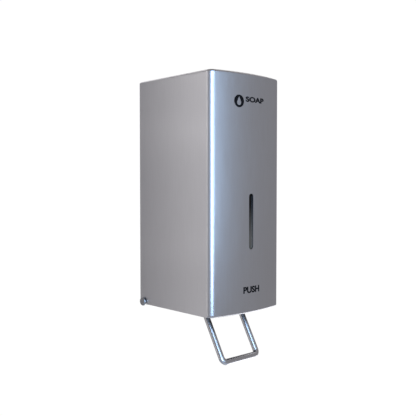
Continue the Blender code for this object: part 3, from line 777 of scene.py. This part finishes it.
SWEEP = sweep_tool()
bail_low, bail_high = box_mm("lever_bail")
BAIL_HALF = bail_high.x - ROD
BAIL_START = Vector((0, bail_low.y + ROD, bail_low.z + ROD))
BAIL_AXIS = Vector((0, sin(BAIL_LEAN), cos(BAIL_LEAN)))


def bail_path():
    """The rod's centre line, up one leg, along the crossbar and up the other."""
    length = (bail_high.z - ROD * sin(BAIL_LEAN) - BAIL_START.z) / cos(BAIL_LEAN)
    inner = BAIL_HALF - BAIL_BEND
    flat = [(-BAIL_HALF, length), (-BAIL_HALF, length / 2)]
    flat += arc((-inner, BAIL_BEND), BAIL_BEND, pi, 1.5 * pi, 20)
    flat += arc((inner, BAIL_BEND), BAIL_BEND, 1.5 * pi, 2 * pi, 20)
    flat += [(BAIL_HALF, length / 2), (BAIL_HALF, length)]
    return [BAIL_START + Vector((x, 0, 0)) + BAIL_AXIS * along for x, along in flat]


POLISHED = surface("polished_stainless", MOTTLE, {"Scale": 60, "Depth": 0.0005},
                   ((0.6, 0.6, 0.61), (0.64, 0.64, 0.65)), (0.26, 0.29), 1.0)
bail = apply_tool(points_object(bail_path(), True), SWEEP,
                  {"Radius": ROD, "Sides": 48, "Material": POLISHED})
dress(bail, "bail_rod", POLISHED, "lever", "polished_steel", "lever_bail")


# ---------------------------------------------------------------- hinge pins and nuts
# Shouldered stainless pins with low domed heads.  The cover's notches hang on them, and a
# hexagon nut holds each one inside the back plate's flange.

PIN_HEAD = 5.75
PIN_SHANK = 2.6
PIN_STUD = 2.0
PIN_SHOULDER = 4.5
GAP = 0.3
SATIN = surface("satin_pin_steel", MOTTLE, {"Scale": 700, "Depth": 0.01},
                ((0.36, 0.36, 0.36), (0.42, 0.42, 0.42)), (0.4, 0.48), 1.0)


def hinge_pin(side, node):
    """A pin turned about X, its head outside the cover."""
    low, high = box_mm(node)
    tip = max(abs(low.x), abs(high.x))
    foot = min(abs(low.x), abs(high.x))
    head = tip - 2.5
    ear = foot + 7.3
    wall = HALF - SHEET - GAP
    profile = [(0, foot), (PIN_STUD, foot), (PIN_STUD, ear), (PIN_SHOULDER, ear),
               (PIN_SHOULDER, wall), (PIN_SHANK, wall), (PIN_SHANK, head), (PIN_HEAD, head),
               (PIN_HEAD, head + 1.0)]
    dome = arc((PIN_HEAD - 1.5, head + 1.0), 1.5, 0, pi / 2, 8)
    return turned(profile + dome + [(0, tip)], (0, HINGE.y, HINGE.z), (side, 0, 0), edge=0.2)


def hex_nut(flats, height, hole):
    """A nut centred on the origin, its crowned face up and its hole countersunk."""
    corner = flats / sqrt(3)
    half = height / 2
    nut = rod(corner, -half, half, steps=6)
    crown = turned([(0, -height), (corner, -height), (corner, half - 0.12 * corner),
                    (0.46 * flats, half), (0, half)], edge=0)
    bore = turned([(0, -height), (hole, -height), (hole, half - 0.3),
                   (hole + 0.5, half + 0.2), (0, half + 0.2)], edge=0)
    return cut(combine(nut, (crown,), "INTERSECT"), bore)


def nuts_tool():
    """Put one nut on every vertex, all turned alike."""
    tool, given = new_tool("nuts_on_studs", Nut="Object", Turn="Vector")
    nut = tool.nodes.new("GeometryNodeObjectInfo")
    copies = tool.nodes.new("GeometryNodeInstanceOnPoints")
    link(tool, given.outputs["Nut"], nut.inputs["Object"])
    link(tool, given.outputs["Geometry"], copies.inputs["Points"])
    link(tool, nut.outputs["Geometry"], copies.inputs["Instance"])
    link(tool, given.outputs["Turn"], copies.inputs["Rotation"])
    return end_tool(tool, given, copies.outputs[0])


NUTS = nuts_tool()


def place_nuts(name, nodes, nut, turn, body):
    """One piece for like nuts, each in the middle of its node's box."""
    places = [sum(box_mm(node), Vector()) / 2 for node in nodes]
    made = apply_tool(points_object(places, False), NUTS,
                      {"Nut": nut, "Turn": turn, "Material": ZINC})
    bpy.data.objects.remove(nut)
    dress(made, name, ZINC, body, "zinc_steel", *nodes)


STUD = 2.0
NUT_FLATS = 7.0
NUT_HEIGHT = 3.2
stud_nodes = ["shelf_nut_" + str(number) for number in (1, 2, 3, 4)]
stud_nodes += ["clip_nut_left", "clip_nut_right", "strike_nut_left", "strike_nut_right"]
place_nuts("stud_nuts", stud_nodes, hex_nut(NUT_FLATS, NUT_HEIGHT, STUD + GAP),
           (pi / 2, 0, 0), "wall_unit")
for side, hand in SIDES:
    node = "hinge_pin_" + hand
    dress(hinge_pin(side, node), "hinge_stud_" + hand, SATIN, "wall_unit",
          "polished_steel", node)
    place_nuts("pin_nut_" + hand, ["hinge_nut_" + hand],
               hex_nut(NUT_FLATS, NUT_HEIGHT, PIN_STUD + GAP), (0, -side * pi / 2, 0),
               "wall_unit")


# ---------------------------------------------------------------- back plate
# A pan folded from 1.5 mm stainless sheet and screwed to the wall, with welded threaded
# studs for the brackets.

PLATE = 1.5
WALL_HOLE = 3.0
WALL_HOLES = ((-42, 88), (42, 88), (-42, 262), (42, 262))
BRACKET = 1.5
SHELF_STUDS = ((-34, 46), (34, 46), (-34, 58), (34, 58))
CLIP_STUDS = ((-20, 236), (20, 236))
STRIKE_STUDS = ((-12, 279), (12, 279))


def stud(x, height):
    """A welded stud with the ridges of its thread."""
    pitch = 0.7
    tip = 9.0
    profile = [(0, 1.0), (STUD, 1.0), (STUD, PLATE + 0.5)]
    along = PLATE + 0.5
    while along < tip - 2 * pitch:
        profile += [(STUD - 0.3, along + pitch / 2), (STUD, along + pitch)]
        along += pitch
    profile += [(STUD - 0.5, tip), (0, tip)]
    return turned(profile, (x, 0, height), (0, -1, 0), steps=20, edge=0)


def back_plate():
    """The pan with its bends, wall holes, pin holes and studs."""
    low, high = box_mm("back_plate")
    half = high.x
    front = -14.0
    channel = [(-half, 0), (-half, front), (-half + PLATE, front), (-half + PLATE, -PLATE),
               (half - PLATE, -PLATE), (half - PLATE, front), (half, front), (half, 0)]
    holes = [rod(WALL_HOLE, -5, 5, (0, 1, 0), (x, 0, height)) for x, height in WALL_HOLES]
    holes.append(rod(PIN_STUD + 0.4, -2 * HALF, 2 * HALF, (1, 0, 0), HINGE))
    pan = cut(prism(rounded(channel, 0.7), low.z, high.z, "Z"), *holes)
    studs = [stud(x, height) for x, height in SHELF_STUDS + CLIP_STUDS + STRIKE_STUDS]
    return join(pan, *studs)


PAN_STEEL = surface("pan_stainless", GRAIN, {"Across": 900, "Along": 12, "Depth": 0.05},
                    ((0.5, 0.5, 0.5), (0.6, 0.6, 0.6)), (0.3, 0.42), 1.0)
dress(back_plate(), "wall_pan", PAN_STEEL, "wall_unit", "brushed_steel", "back_plate")


# ---------------------------------------------------------------- brackets
# The pump shelf, the tank clip and the lock strike: zinc plated steel, cut, folded and
# nutted to the back plate's studs.

SHELF_TOP = 68.0
SHELF_SHEET = 2.0
CHEEK = 46.0
NECK = 16.0
PUMP_Y = -80.0
PIVOT = sum(box_mm("pivot_shaft"), Vector()) / 2


def drill(bracket, studs):
    """Clearance holes for studs through a bracket's rear flange."""
    holes = [rod(STUD + GAP, 0, 8, (0, -1, 0), (x, 0, height)) for x, height in studs]
    return cut(bracket, *holes)


def pump_shelf():
    """Rear flange, level top and two cheeks for the lever's shaft."""
    rear = -PLATE - GAP
    cheek = rounded([(rear, SHELF_TOP), (rear, 40), (-80, 10), (-110, 10), (-116, 18),
                     (-116, SHELF_TOP)], 3.0)
    outline = rounded([(-CHEEK, 9), (-CHEEK, SHELF_TOP), (CHEEK, SHELF_TOP), (CHEEK, 9),
                       (CHEEK - SHELF_SHEET, 9), (CHEEK - SHELF_SHEET, SHELF_TOP - SHELF_SHEET),
                       (-CHEEK + SHELF_SHEET, SHELF_TOP - SHELF_SHEET),
                       (-CHEEK + SHELF_SHEET, 9)], 1.2)
    folded = combine(prism(outline, -120, 2, "Y"), (prism(cheek, -60, 60, "X"),), "INTERSECT")
    back = block((-CHEEK + 1, CHEEK - 1), (rear - SHELF_SHEET, rear), (40.5, SHELF_TOP - 0.5))
    shelf = join(folded, back)
    shelf = cut(shelf, rod(NECK + 0.5, 60, 72, centre=(0, PUMP_Y, 0)),
                rod(4.9, -60, 60, (1, 0, 0), PIVOT))
    return drill(shelf, SHELF_STUDS)


def angle_bracket(half, low, high, arm, forward):
    """A vertical flange on the back plate with a level arm reaching forward."""
    rear = -PLATE - GAP
    front = rear - BRACKET
    foot = [(front, arm), (front, low)] if arm > low else []
    outline = [(rear, low), (rear, high), (front, high), (front, arm + BRACKET),
               (forward, arm + BRACKET), (forward, arm), *foot]
    return prism(rounded(outline, 0.6), -half, half, "X")


def lock_strike():
    """The bracket with an upstand for the lock's cam."""
    upstand = block((-5, 5), (-18.5, -17.0), (285.2, 293.0))
    bracket = angle_bracket(half=18, low=272, high=288, arm=285, forward=-18.5)
    return drill(join(bracket, upstand), STRIKE_STUDS)


dress(pump_shelf(), "shelf_bracket", ZINC, "wall_unit", "zinc_steel", "pump_shelf")
clip = angle_bracket(half=28, low=219, high=246, arm=219, forward=-22)
dress(drill(clip, CLIP_STUDS), "clip_bracket", ZINC, "wall_unit", "zinc_steel", "tank_clip")
dress(lock_strike(), "strike_bracket", ZINC, "wall_unit", "zinc_steel", "lock_strike")


# ---------------------------------------------------------------- tank
# Blow moulded in milky polyethylene: a rounded box with a filler mouth, two ears for the
# lid and a neck below, and the mould's parting line all round.

TANK_WALL = 2.0
TANK_HALF = 50.0
TANK_REAR = -8.0
TANK_FRONT = -136.0
TANK_LOW = 72.0
TANK_TOP = 218.0
NECK_BORE = 12.6
MOUTH = 24.0
MOUTH_BORE = 20
MOUTH_TOP = 223
MOUTH_Y = -72.0
LID_Y = -41.0
LID_H = 225.2
LID_BORE = 1.7


def tank_plan(inset):
    """A rounded rectangle, smaller all round by `inset`."""
    radius = 16.0 - inset
    right = TANK_HALF - inset - radius
    front = TANK_FRONT + inset + radius
    rear = TANK_REAR - inset - radius
    corners = (((right, rear), 0.0), ((-right, rear), pi / 2),
               ((-right, front), pi), ((right, front), 1.5 * pi))
    points = []
    for centre, start in corners:
        points += arc(centre, radius, start, start + pi / 2, 12)
    return points


def tank_body(inset, seam):
    """The box with rolled edges, and a low ridge at half height if `seam` is above 0."""
    roll = 8.0 - inset
    low = [90 - 10 * step for step in range(10)]
    levels = [(TANK_LOW + inset + roll * (1 - sin(radians(turn))),
               tank_plan(inset + roll * (1 - cos(radians(turn))))) for turn in low]
    middle = (TANK_LOW + TANK_TOP) / 2
    if seam > 0:
        levels += [(middle - 0.5, tank_plan(inset)), (middle, tank_plan(inset - seam)),
                   (middle + 0.5, tank_plan(inset))]
    levels += [(TANK_TOP - inset - roll * (1 - sin(radians(turn))),
                tank_plan(inset + roll * (1 - cos(radians(turn))))) for turn in reversed(low)]
    return loft(levels)


def tank():
    """The hollow body with its mouth, ears and neck."""
    neck = (0, PUMP_Y, 0)
    mouth = (0, MOUTH_Y, 0)
    ears = [block((side * 11 - 2, side * 11 + 2), (LID_Y - 4, LID_Y + 4),
                  (TANK_TOP - 1, LID_H + 3.6)) for side in (-1, 1)]
    body = join(tank_body(0.0, 0.15), rod(NECK, 53, TANK_LOW + 1, centre=neck, edge=0.4),
                rod(MOUTH, TANK_TOP - 1, MOUTH_TOP, centre=mouth, edge=0.4),
                *[soften(ear, 0.6) for ear in ears])
    return cut(body, tank_body(TANK_WALL, 0), rod(NECK_BORE, 50, TANK_LOW + 4, centre=neck),
               rod(MOUTH_BORE, TANK_TOP - 4, MOUTH_TOP + 3, centre=mouth),
               rod(LID_BORE, -20, 20, (1, 0, 0), (0, LID_Y, LID_H)))


MILKY = surface("milky_polyethylene", MOTTLE, {"Scale": 500, "Depth": 0.12},
                ((0.76, 0.77, 0.74), (0.83, 0.84, 0.81)), (0.38, 0.5),
                Subsurface_Weight=0.15, Subsurface_Scale=0.003)
dress(tank(), "soap_tank", MILKY, "wall_unit", "tank_plastic", "tank")


# ---------------------------------------------------------------- filler lid
# A grey moulded lid over the filler mouth, with a finger tab and a knuckle on a steel pin,
# and a flat gasket under its disc.


def filler_lid():
    """The disc, its hinge arm and knuckle, and its tab."""
    disc = turned([(0, 224.8), (26, 224.8), (26, 227.0), (25.2, 227.8), (0, 227.8)],
                  (0, MOUTH_Y, 0), edge=0.5)
    knuckle = rod(3.4, -8, 8, (1, 0, 0), (0, LID_Y, LID_H), edge=0.4)
    lid = join(disc, block((-8, 8), (-52, LID_Y - 1), (225.0, 227.6)), knuckle,
               soften(block((-9, 9), (-103, -92), (225.1, 227.4)), 0.6))
    return cut(lid, rod(LID_BORE, -12, 12, (1, 0, 0), (0, LID_Y, LID_H)))


GREY = surface("grey_polypropylene", MOTTLE, {"Scale": 1200, "Depth": 0.25},
               ((0.17, 0.17, 0.18), (0.21, 0.21, 0.22)), (0.4, 0.52))
RUBBER = surface("black_nitrile", MOTTLE, {"Scale": 1500, "Depth": 0.3},
                 ((0.02, 0.02, 0.02), (0.035, 0.035, 0.035)), (0.6, 0.8))
gasket = turned([(20.4, 223.3), (MOUTH, 223.3), (MOUTH, 224.5), (20.4, 224.5)],
                (0, MOUTH_Y, 0))
lid_pin = rod(1.4, -15, 15, (1, 0, 0), (0, LID_Y, LID_H), edge=0.4)
dress(filler_lid(), "lid_moulding", GREY, "lid", "grey_plastic", "tank_lid")
dress(gasket, "lid_gasket", RUBBER, "lid", "black_rubber", "lid_seal")
dress(lid_pin, "lid_hinge_pin", POLISHED, "wall_unit", "polished_steel", "lid_pin")


# ---------------------------------------------------------------- pump body
# A white threaded ring with grip ribs clamps the pump's cylinder and a rubber seal to the
# tank's neck; the inlet valve is a rubber poppet at the cylinder's top.


def ribs_tool():
    """Join copies of a rib, set round a circle and turned outward, to a ring."""
    tool, given = new_tool("ribs_round_ring", Rib="Object", Count="Int", Radius="Float")
    circle = tool.nodes.new("GeometryNodeMeshCircle")
    rib = tool.nodes.new("GeometryNodeObjectInfo")
    position = tool.nodes.new("GeometryNodeInputPosition")
    outward = tool.nodes.new("FunctionNodeAlignRotationToVector")
    outward.axis = "X"
    copies = tool.nodes.new("GeometryNodeInstanceOnPoints")
    whole = tool.nodes.new("GeometryNodeJoinGeometry")
    link(tool, given.outputs["Count"], circle.inputs["Vertices"])
    link(tool, given.outputs["Radius"], circle.inputs["Radius"])
    link(tool, given.outputs["Rib"], rib.inputs["Object"])
    link(tool, position.outputs[0], outward.inputs["Vector"])
    link(tool, circle.outputs[0], copies.inputs["Points"])
    link(tool, rib.outputs["Geometry"], copies.inputs["Instance"])
    link(tool, outward.outputs[0], copies.inputs["Rotation"])
    link(tool, given.outputs["Geometry"], whole.inputs[0])
    link(tool, copies.outputs[0], whole.inputs[0])
    return end_tool(tool, given, whole.outputs[0])


def coupling_ring(material):
    """The threaded ring, 1 mm under its full radius, with 36 ribs up to it."""
    ring = turned([(6.5, 46), (19.2, 46), (20.3, 47.5), (20.3, 65), (16.6, 65), (16.6, 48.5),
                   (6.5, 48.5)], edge=0.4)
    rib = soften(prism(rounded([(-0.6, -0.6), (0.65, -0.35), (0.65, 0.35), (-0.6, 0.6)], 0.2),
                       48, 64.4, "Z"), 0.1)
    made = apply_tool(ring, ribs_tool(),
                      {"Rib": rib, "Count": 36, "Radius": 20.3, "Material": material})
    bpy.data.objects.remove(rib)
    made.data.transform(Matrix.Translation((0, PUMP_Y, 0)))
    return made


WHITE = surface("white_polypropylene", MOTTLE, {"Scale": 1300, "Depth": 0.15},
                ((0.76, 0.76, 0.74), (0.81, 0.81, 0.79)), (0.3, 0.42))
AXIS = (0, PUMP_Y, 0)
neck_seal = turned([(11.4, 51.2), (15.8, 51.2), (15.8, 52.7), (11.4, 52.7)], AXIS)
cylinder = turned([(8.5, 48.8), (15.8, 48.8), (15.8, 50.9), (11.2, 50.9), (11.2, 95.0),
                   (4.0, 95.0), (4.0, 93.0), (8.5, 93.0)], AXIS)
poppet = turned([(0, 91.2), (6.4, 91.2), (6.4, 92.7), (2.0, 92.7), (2.0, 95.3), (5.0, 95.3),
                 (2.6, 97.4), (0, 97.4)], AXIS)
dress(coupling_ring(WHITE), "ribbed_ring", WHITE, "wall_unit", "white_plastic",
      "coupling_ring")
dress(neck_seal, "neck_washer", RUBBER, "wall_unit", "black_rubber", "neck_seal")
dress(cylinder, "cylinder_moulding", WHITE, "wall_unit", "white_plastic", "pump_cylinder")
dress(poppet, "inlet_poppet", RUBBER, "wall_unit", "black_rubber", "inlet_valve")


# ---------------------------------------------------------------- pump piston
# The stem rises with the lever: a hollow white moulding with a lift flange, a rubber cup
# seal, the nozzle pressed on below with its duckbill valve, and the return spring.

STEM = 4.5
LIFT_FLANGE = 23.3
stem = turned([(2.2, 6), (STEM, 6), (STEM, LIFT_FLANGE), (14, LIFT_FLANGE),
               (14, LIFT_FLANGE + 2.5), (STEM, LIFT_FLANGE + 2.5), (STEM, 57), (7.8, 57),
               (7.8, 60), (6.0, 60), (6.0, 63), (7.8, 63), (7.8, 65), (2.2, 65)], AXIS)
cup_seal = turned([(6.2, 60.3), (8.2, 60.3), (8.3, 62.7), (6.2, 62.7)], AXIS)
nozzle = turned([(2.4, -10), (3.6, -10), (6.5, 1), (6.5, 20), (4.8, 20), (4.8, 5.6),
                 (4.0, 4.6), (4.0, -1.5), (2.4, -5)], AXIS, edge=0.5)
duckbill = turned([(0, -1.2), (1.4, -1.2), (2.6, 2.4), (3.7, 2.4), (3.7, 3.6), (1.8, 3.6),
                   (0.8, -0.2), (0, -0.2)], AXIS, edge=0.15)
dress(stem, "stem_moulding", WHITE, "pump", "white_plastic", "piston_stem")
dress(cup_seal, "cup_seal", RUBBER, "pump", "black_rubber", "piston_seal")
dress(nozzle, "nozzle_moulding", WHITE, "pump", "white_plastic", "nozzle")
dress(duckbill, "duckbill", RUBBER, "pump", "black_rubber", "outlet_valve")

spring_low, spring_high = box_mm("pump_spring")
WIRE = 0.6
COILS = 6


def spring_path():
    """A helix whose end coils are closed, 40 points a turn."""
    steps = 40
    mean = spring_high.x - WIRE
    low = spring_low.z + WIRE
    rise = spring_high.z - WIRE - low
    points = []
    for index in range(COILS * steps + 1):
        turn = index / steps
        ends = min(turn, 1) + max(turn - COILS + 1, 0)
        climb = min(max((turn - 1) / (COILS - 2), 0), 1)
        height = low + 2.5 * WIRE * ends + climb * (rise - 5 * WIRE)
        angle = 2 * pi * turn
        points.append((mean * cos(angle), PUMP_Y + mean * sin(angle), height))
    return points


spring = apply_tool(points_object(spring_path(), True), SWEEP,
                    {"Radius": WIRE, "Sides": 12, "Material": POLISHED})
spring = dress(spring, "return_spring", POLISHED, "wall_unit", "polished_steel",
               "pump_spring")
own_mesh(spring)


# ---------------------------------------------------------------- yoke
# One zinc die casting that rocks on the shaft: a hub, a socket for each of the bail's
# legs with a set screw, and two fingers under the stem's flange.

FINGER = 3.0
HUB = 6.0
SOCKET = 7.0
LEG_TOP = 26.0
LEG_SCREW = 12
SHAFT = 3.0


def leg_point(side, height):
    """The point on a leg's centre line at a height."""
    return side * BAIL_HALF, BAIL_START.y + (height - BAIL_START.z) * tan(BAIL_LEAN), height


def yoke():
    """The casting."""
    parts = []
    holes = [rod(SHAFT + GAP, -60, 60, (1, 0, 0), PIVOT)]
    for side in (-1, 1):
        socket = leg_point(side, LEG_TOP)
        parts.append(rod(SOCKET, -22, 3.0, BAIL_AXIS, socket, edge=0.8))
        finger = [(PIVOT.y, PIVOT.z - FINGER), (PUMP_Y, PIVOT.z - FINGER)]
        finger += arc((PUMP_Y, PIVOT.z), FINGER, -pi / 2, pi / 2, 16)
        finger += [(PUMP_Y, PIVOT.z + FINGER), (PIVOT.y, PIVOT.z + FINGER)]
        across = sorted((8.0 * side, 12.2 * side))
        parts.append(soften(prism(finger, across[0], across[1], "X"), 0.4))
        holes.append(rod(ROD + GAP, -30, 0.4, BAIL_AXIS, socket))
        holes.append(rod(2.2, 2, 12, (side, 0, 0), leg_point(side, LEG_SCREW)))
    return cut(join(rod(HUB, -41, 41, (1, 0, 0), PIVOT, edge=0.6), *parts), *holes)


def leg_screw(side):
    """A set screw with a hexagon socket, flush in the casting."""
    hole = leg_point(side, LEG_SCREW)
    screw = rod(1.9, ROD + GAP, 7.2, (side, 0, 0), hole, edge=0.3)
    return cut(screw, rod(1.1, 5.4, 8, (side, 0, 0), hole, steps=6))


CAST = surface("cast_zinc", MOTTLE, {"Scale": 1800, "Depth": 0.5},
               ((0.26, 0.26, 0.27), (0.36, 0.36, 0.37)), (0.42, 0.58), 1.0)
dress(yoke(), "yoke_casting", CAST, "lever", "cast_zinc", "lever_yoke")
for side, hand in SIDES:
    dress(leg_screw(side), "leg_set_screw_" + hand, ZINC, "lever", "zinc_steel",
          "leg_screw_" + hand)


# ---------------------------------------------------------------- pivot shaft
# A ground steel shaft across the shelf's cheeks, in flanged nylon bushes, kept by a
# spring clip in a groove at each end.


def shaft():
    """The shaft with its two grooves and chamfered ends."""
    half = [(SHAFT, 47.4), (2.2, 47.4), (2.2, 48.8), (SHAFT, 48.8), (SHAFT, 50.5),
            (2.6, 51.0)]
    profile = [(0, -51.0)] + [(r, -x) for r, x in reversed(half)] + half + [(0, 51.0)]
    return turned(profile, PIVOT, (1, 0, 0), edge=0.1)


def spring_clip(side):
    """A flat ring, open below."""
    ring = turned([(2.5, 47.7), (5.5, 47.7), (5.5, 48.5), (2.5, 48.5)], PIVOT,
                  (side, 0, 0), edge=0.1)
    mouth = block((-60, 60), (PIVOT.y - 1.9, PIVOT.y + 1.9), (PIVOT.z - 8, PIVOT.z))
    return cut(ring, mouth)


dress(shaft(), "shaft_turning", POLISHED, "wall_unit", "polished_steel", "pivot_shaft")
for side, hand in SIDES:
    bush = turned([(3.3, 41.4), (6.5, 41.4), (6.5, 43.7), (4.6, 43.7), (4.6, 46.6),
                   (3.3, 46.6)], PIVOT, (side, 0, 0))
    dress(bush, "nylon_bush_" + hand, WHITE, "wall_unit", "white_plastic",
          "pivot_bush_" + hand)
    dress(spring_clip(side), "shaft_clip_" + hand, ZINC, "wall_unit", "zinc_steel",
          "pivot_clip_" + hand)


# ---------------------------------------------------------------- lock
# A chromed cam lock through the cover's top, held by a nut inside; its brass plug carries
# the hooked cam on a slotted screw.

LOCK_TOP = HEIGHT + 0.3
LOCK_AXIS = (0, LOCK.y, 0)
PLUG = 5.8
CAM_THREAD = 1.7


def lock_plug():
    """The plug with its keyway."""
    face = LOCK_TOP + 1.9
    keyway = rounded([(-3.4, LOCK.y - 1), (3.4, LOCK.y - 1), (3.4, LOCK.y + 1),
                      (-3.4, LOCK.y + 1)], 0.8)
    plug = rod(PLUG, 297.0, face, centre=LOCK_AXIS, edge=0.4)
    return cut(plug, prism(keyway, LOCK_TOP - 3, LOCK_TOP + 4, "Z"),
               rod(CAM_THREAD, 290, 303, centre=LOCK_AXIS))


def lock_cam():
    """The cam with its hook turned down."""
    outline = arc((0, LOCK.y), 5.5, pi / 2, 1.5 * pi, 24)
    outline += [(17.5, LOCK.y - 3), (17.5, LOCK.y + 3)]
    hook = block((14.5, 17.4), (LOCK.y - 2.9, LOCK.y + 2.9), (288.5, 295.5))
    cam = join(prism(outline, 294.7, 296.7, "Z"), hook)
    return soften(cut(cam, rod(1.9, 290, 300, centre=LOCK_AXIS)), 0.2)


def cam_screw():
    """The screw's head and shank with a driver slot."""
    screw = turned([(0, 292.2), (2.6, 292.2), (3.2, 292.9), (3.2, 294.4), (1.4, 294.4),
                    (1.4, 302.5), (0, 302.5)], LOCK_AXIS, edge=0.2)
    return cut(screw, block((-4, 4), (LOCK.y - 0.4, LOCK.y + 0.4), (291, 293.2)))


CHROME = surface("lock_chrome", MOTTLE, {"Scale": 300, "Depth": 0.01},
                 ((0.66, 0.66, 0.67), (0.74, 0.74, 0.75)), (0.06, 0.13), 1.0)
BRASS = surface("plug_brass", MOTTLE, {"Scale": 700, "Depth": 0.08},
                ((0.62, 0.45, 0.21), (0.74, 0.56, 0.29)), (0.2, 0.34), 1.0)
lock_body = turned([(6.1, 297.5), (9.0, 297.5), (9.0, LOCK_TOP), (11.2, LOCK_TOP),
                    (11.2, LOCK_TOP + 1.2), (10.2, LOCK_TOP + 2.4), (6.1, LOCK_TOP + 2.4)],
                   LOCK_AXIS, edge=0.4)
dress(lock_body, "lock_barrel", CHROME, "cover", "lock_chrome", "lock_body")
place_nuts("lock_barrel_nut", ["lock_nut"], hex_nut(22, 3.5, LOCK_HOLE), (pi, 0, 0), "cover")
dress(lock_plug(), "lock_core", BRASS, "lock", "plug_brass", "lock_plug")
dress(lock_cam(), "lock_hook", ZINC, "lock", "zinc_steel", "lock_cam")
dress(cam_screw(), "lock_screw", ZINC, "lock", "zinc_steel", "cam_screw")
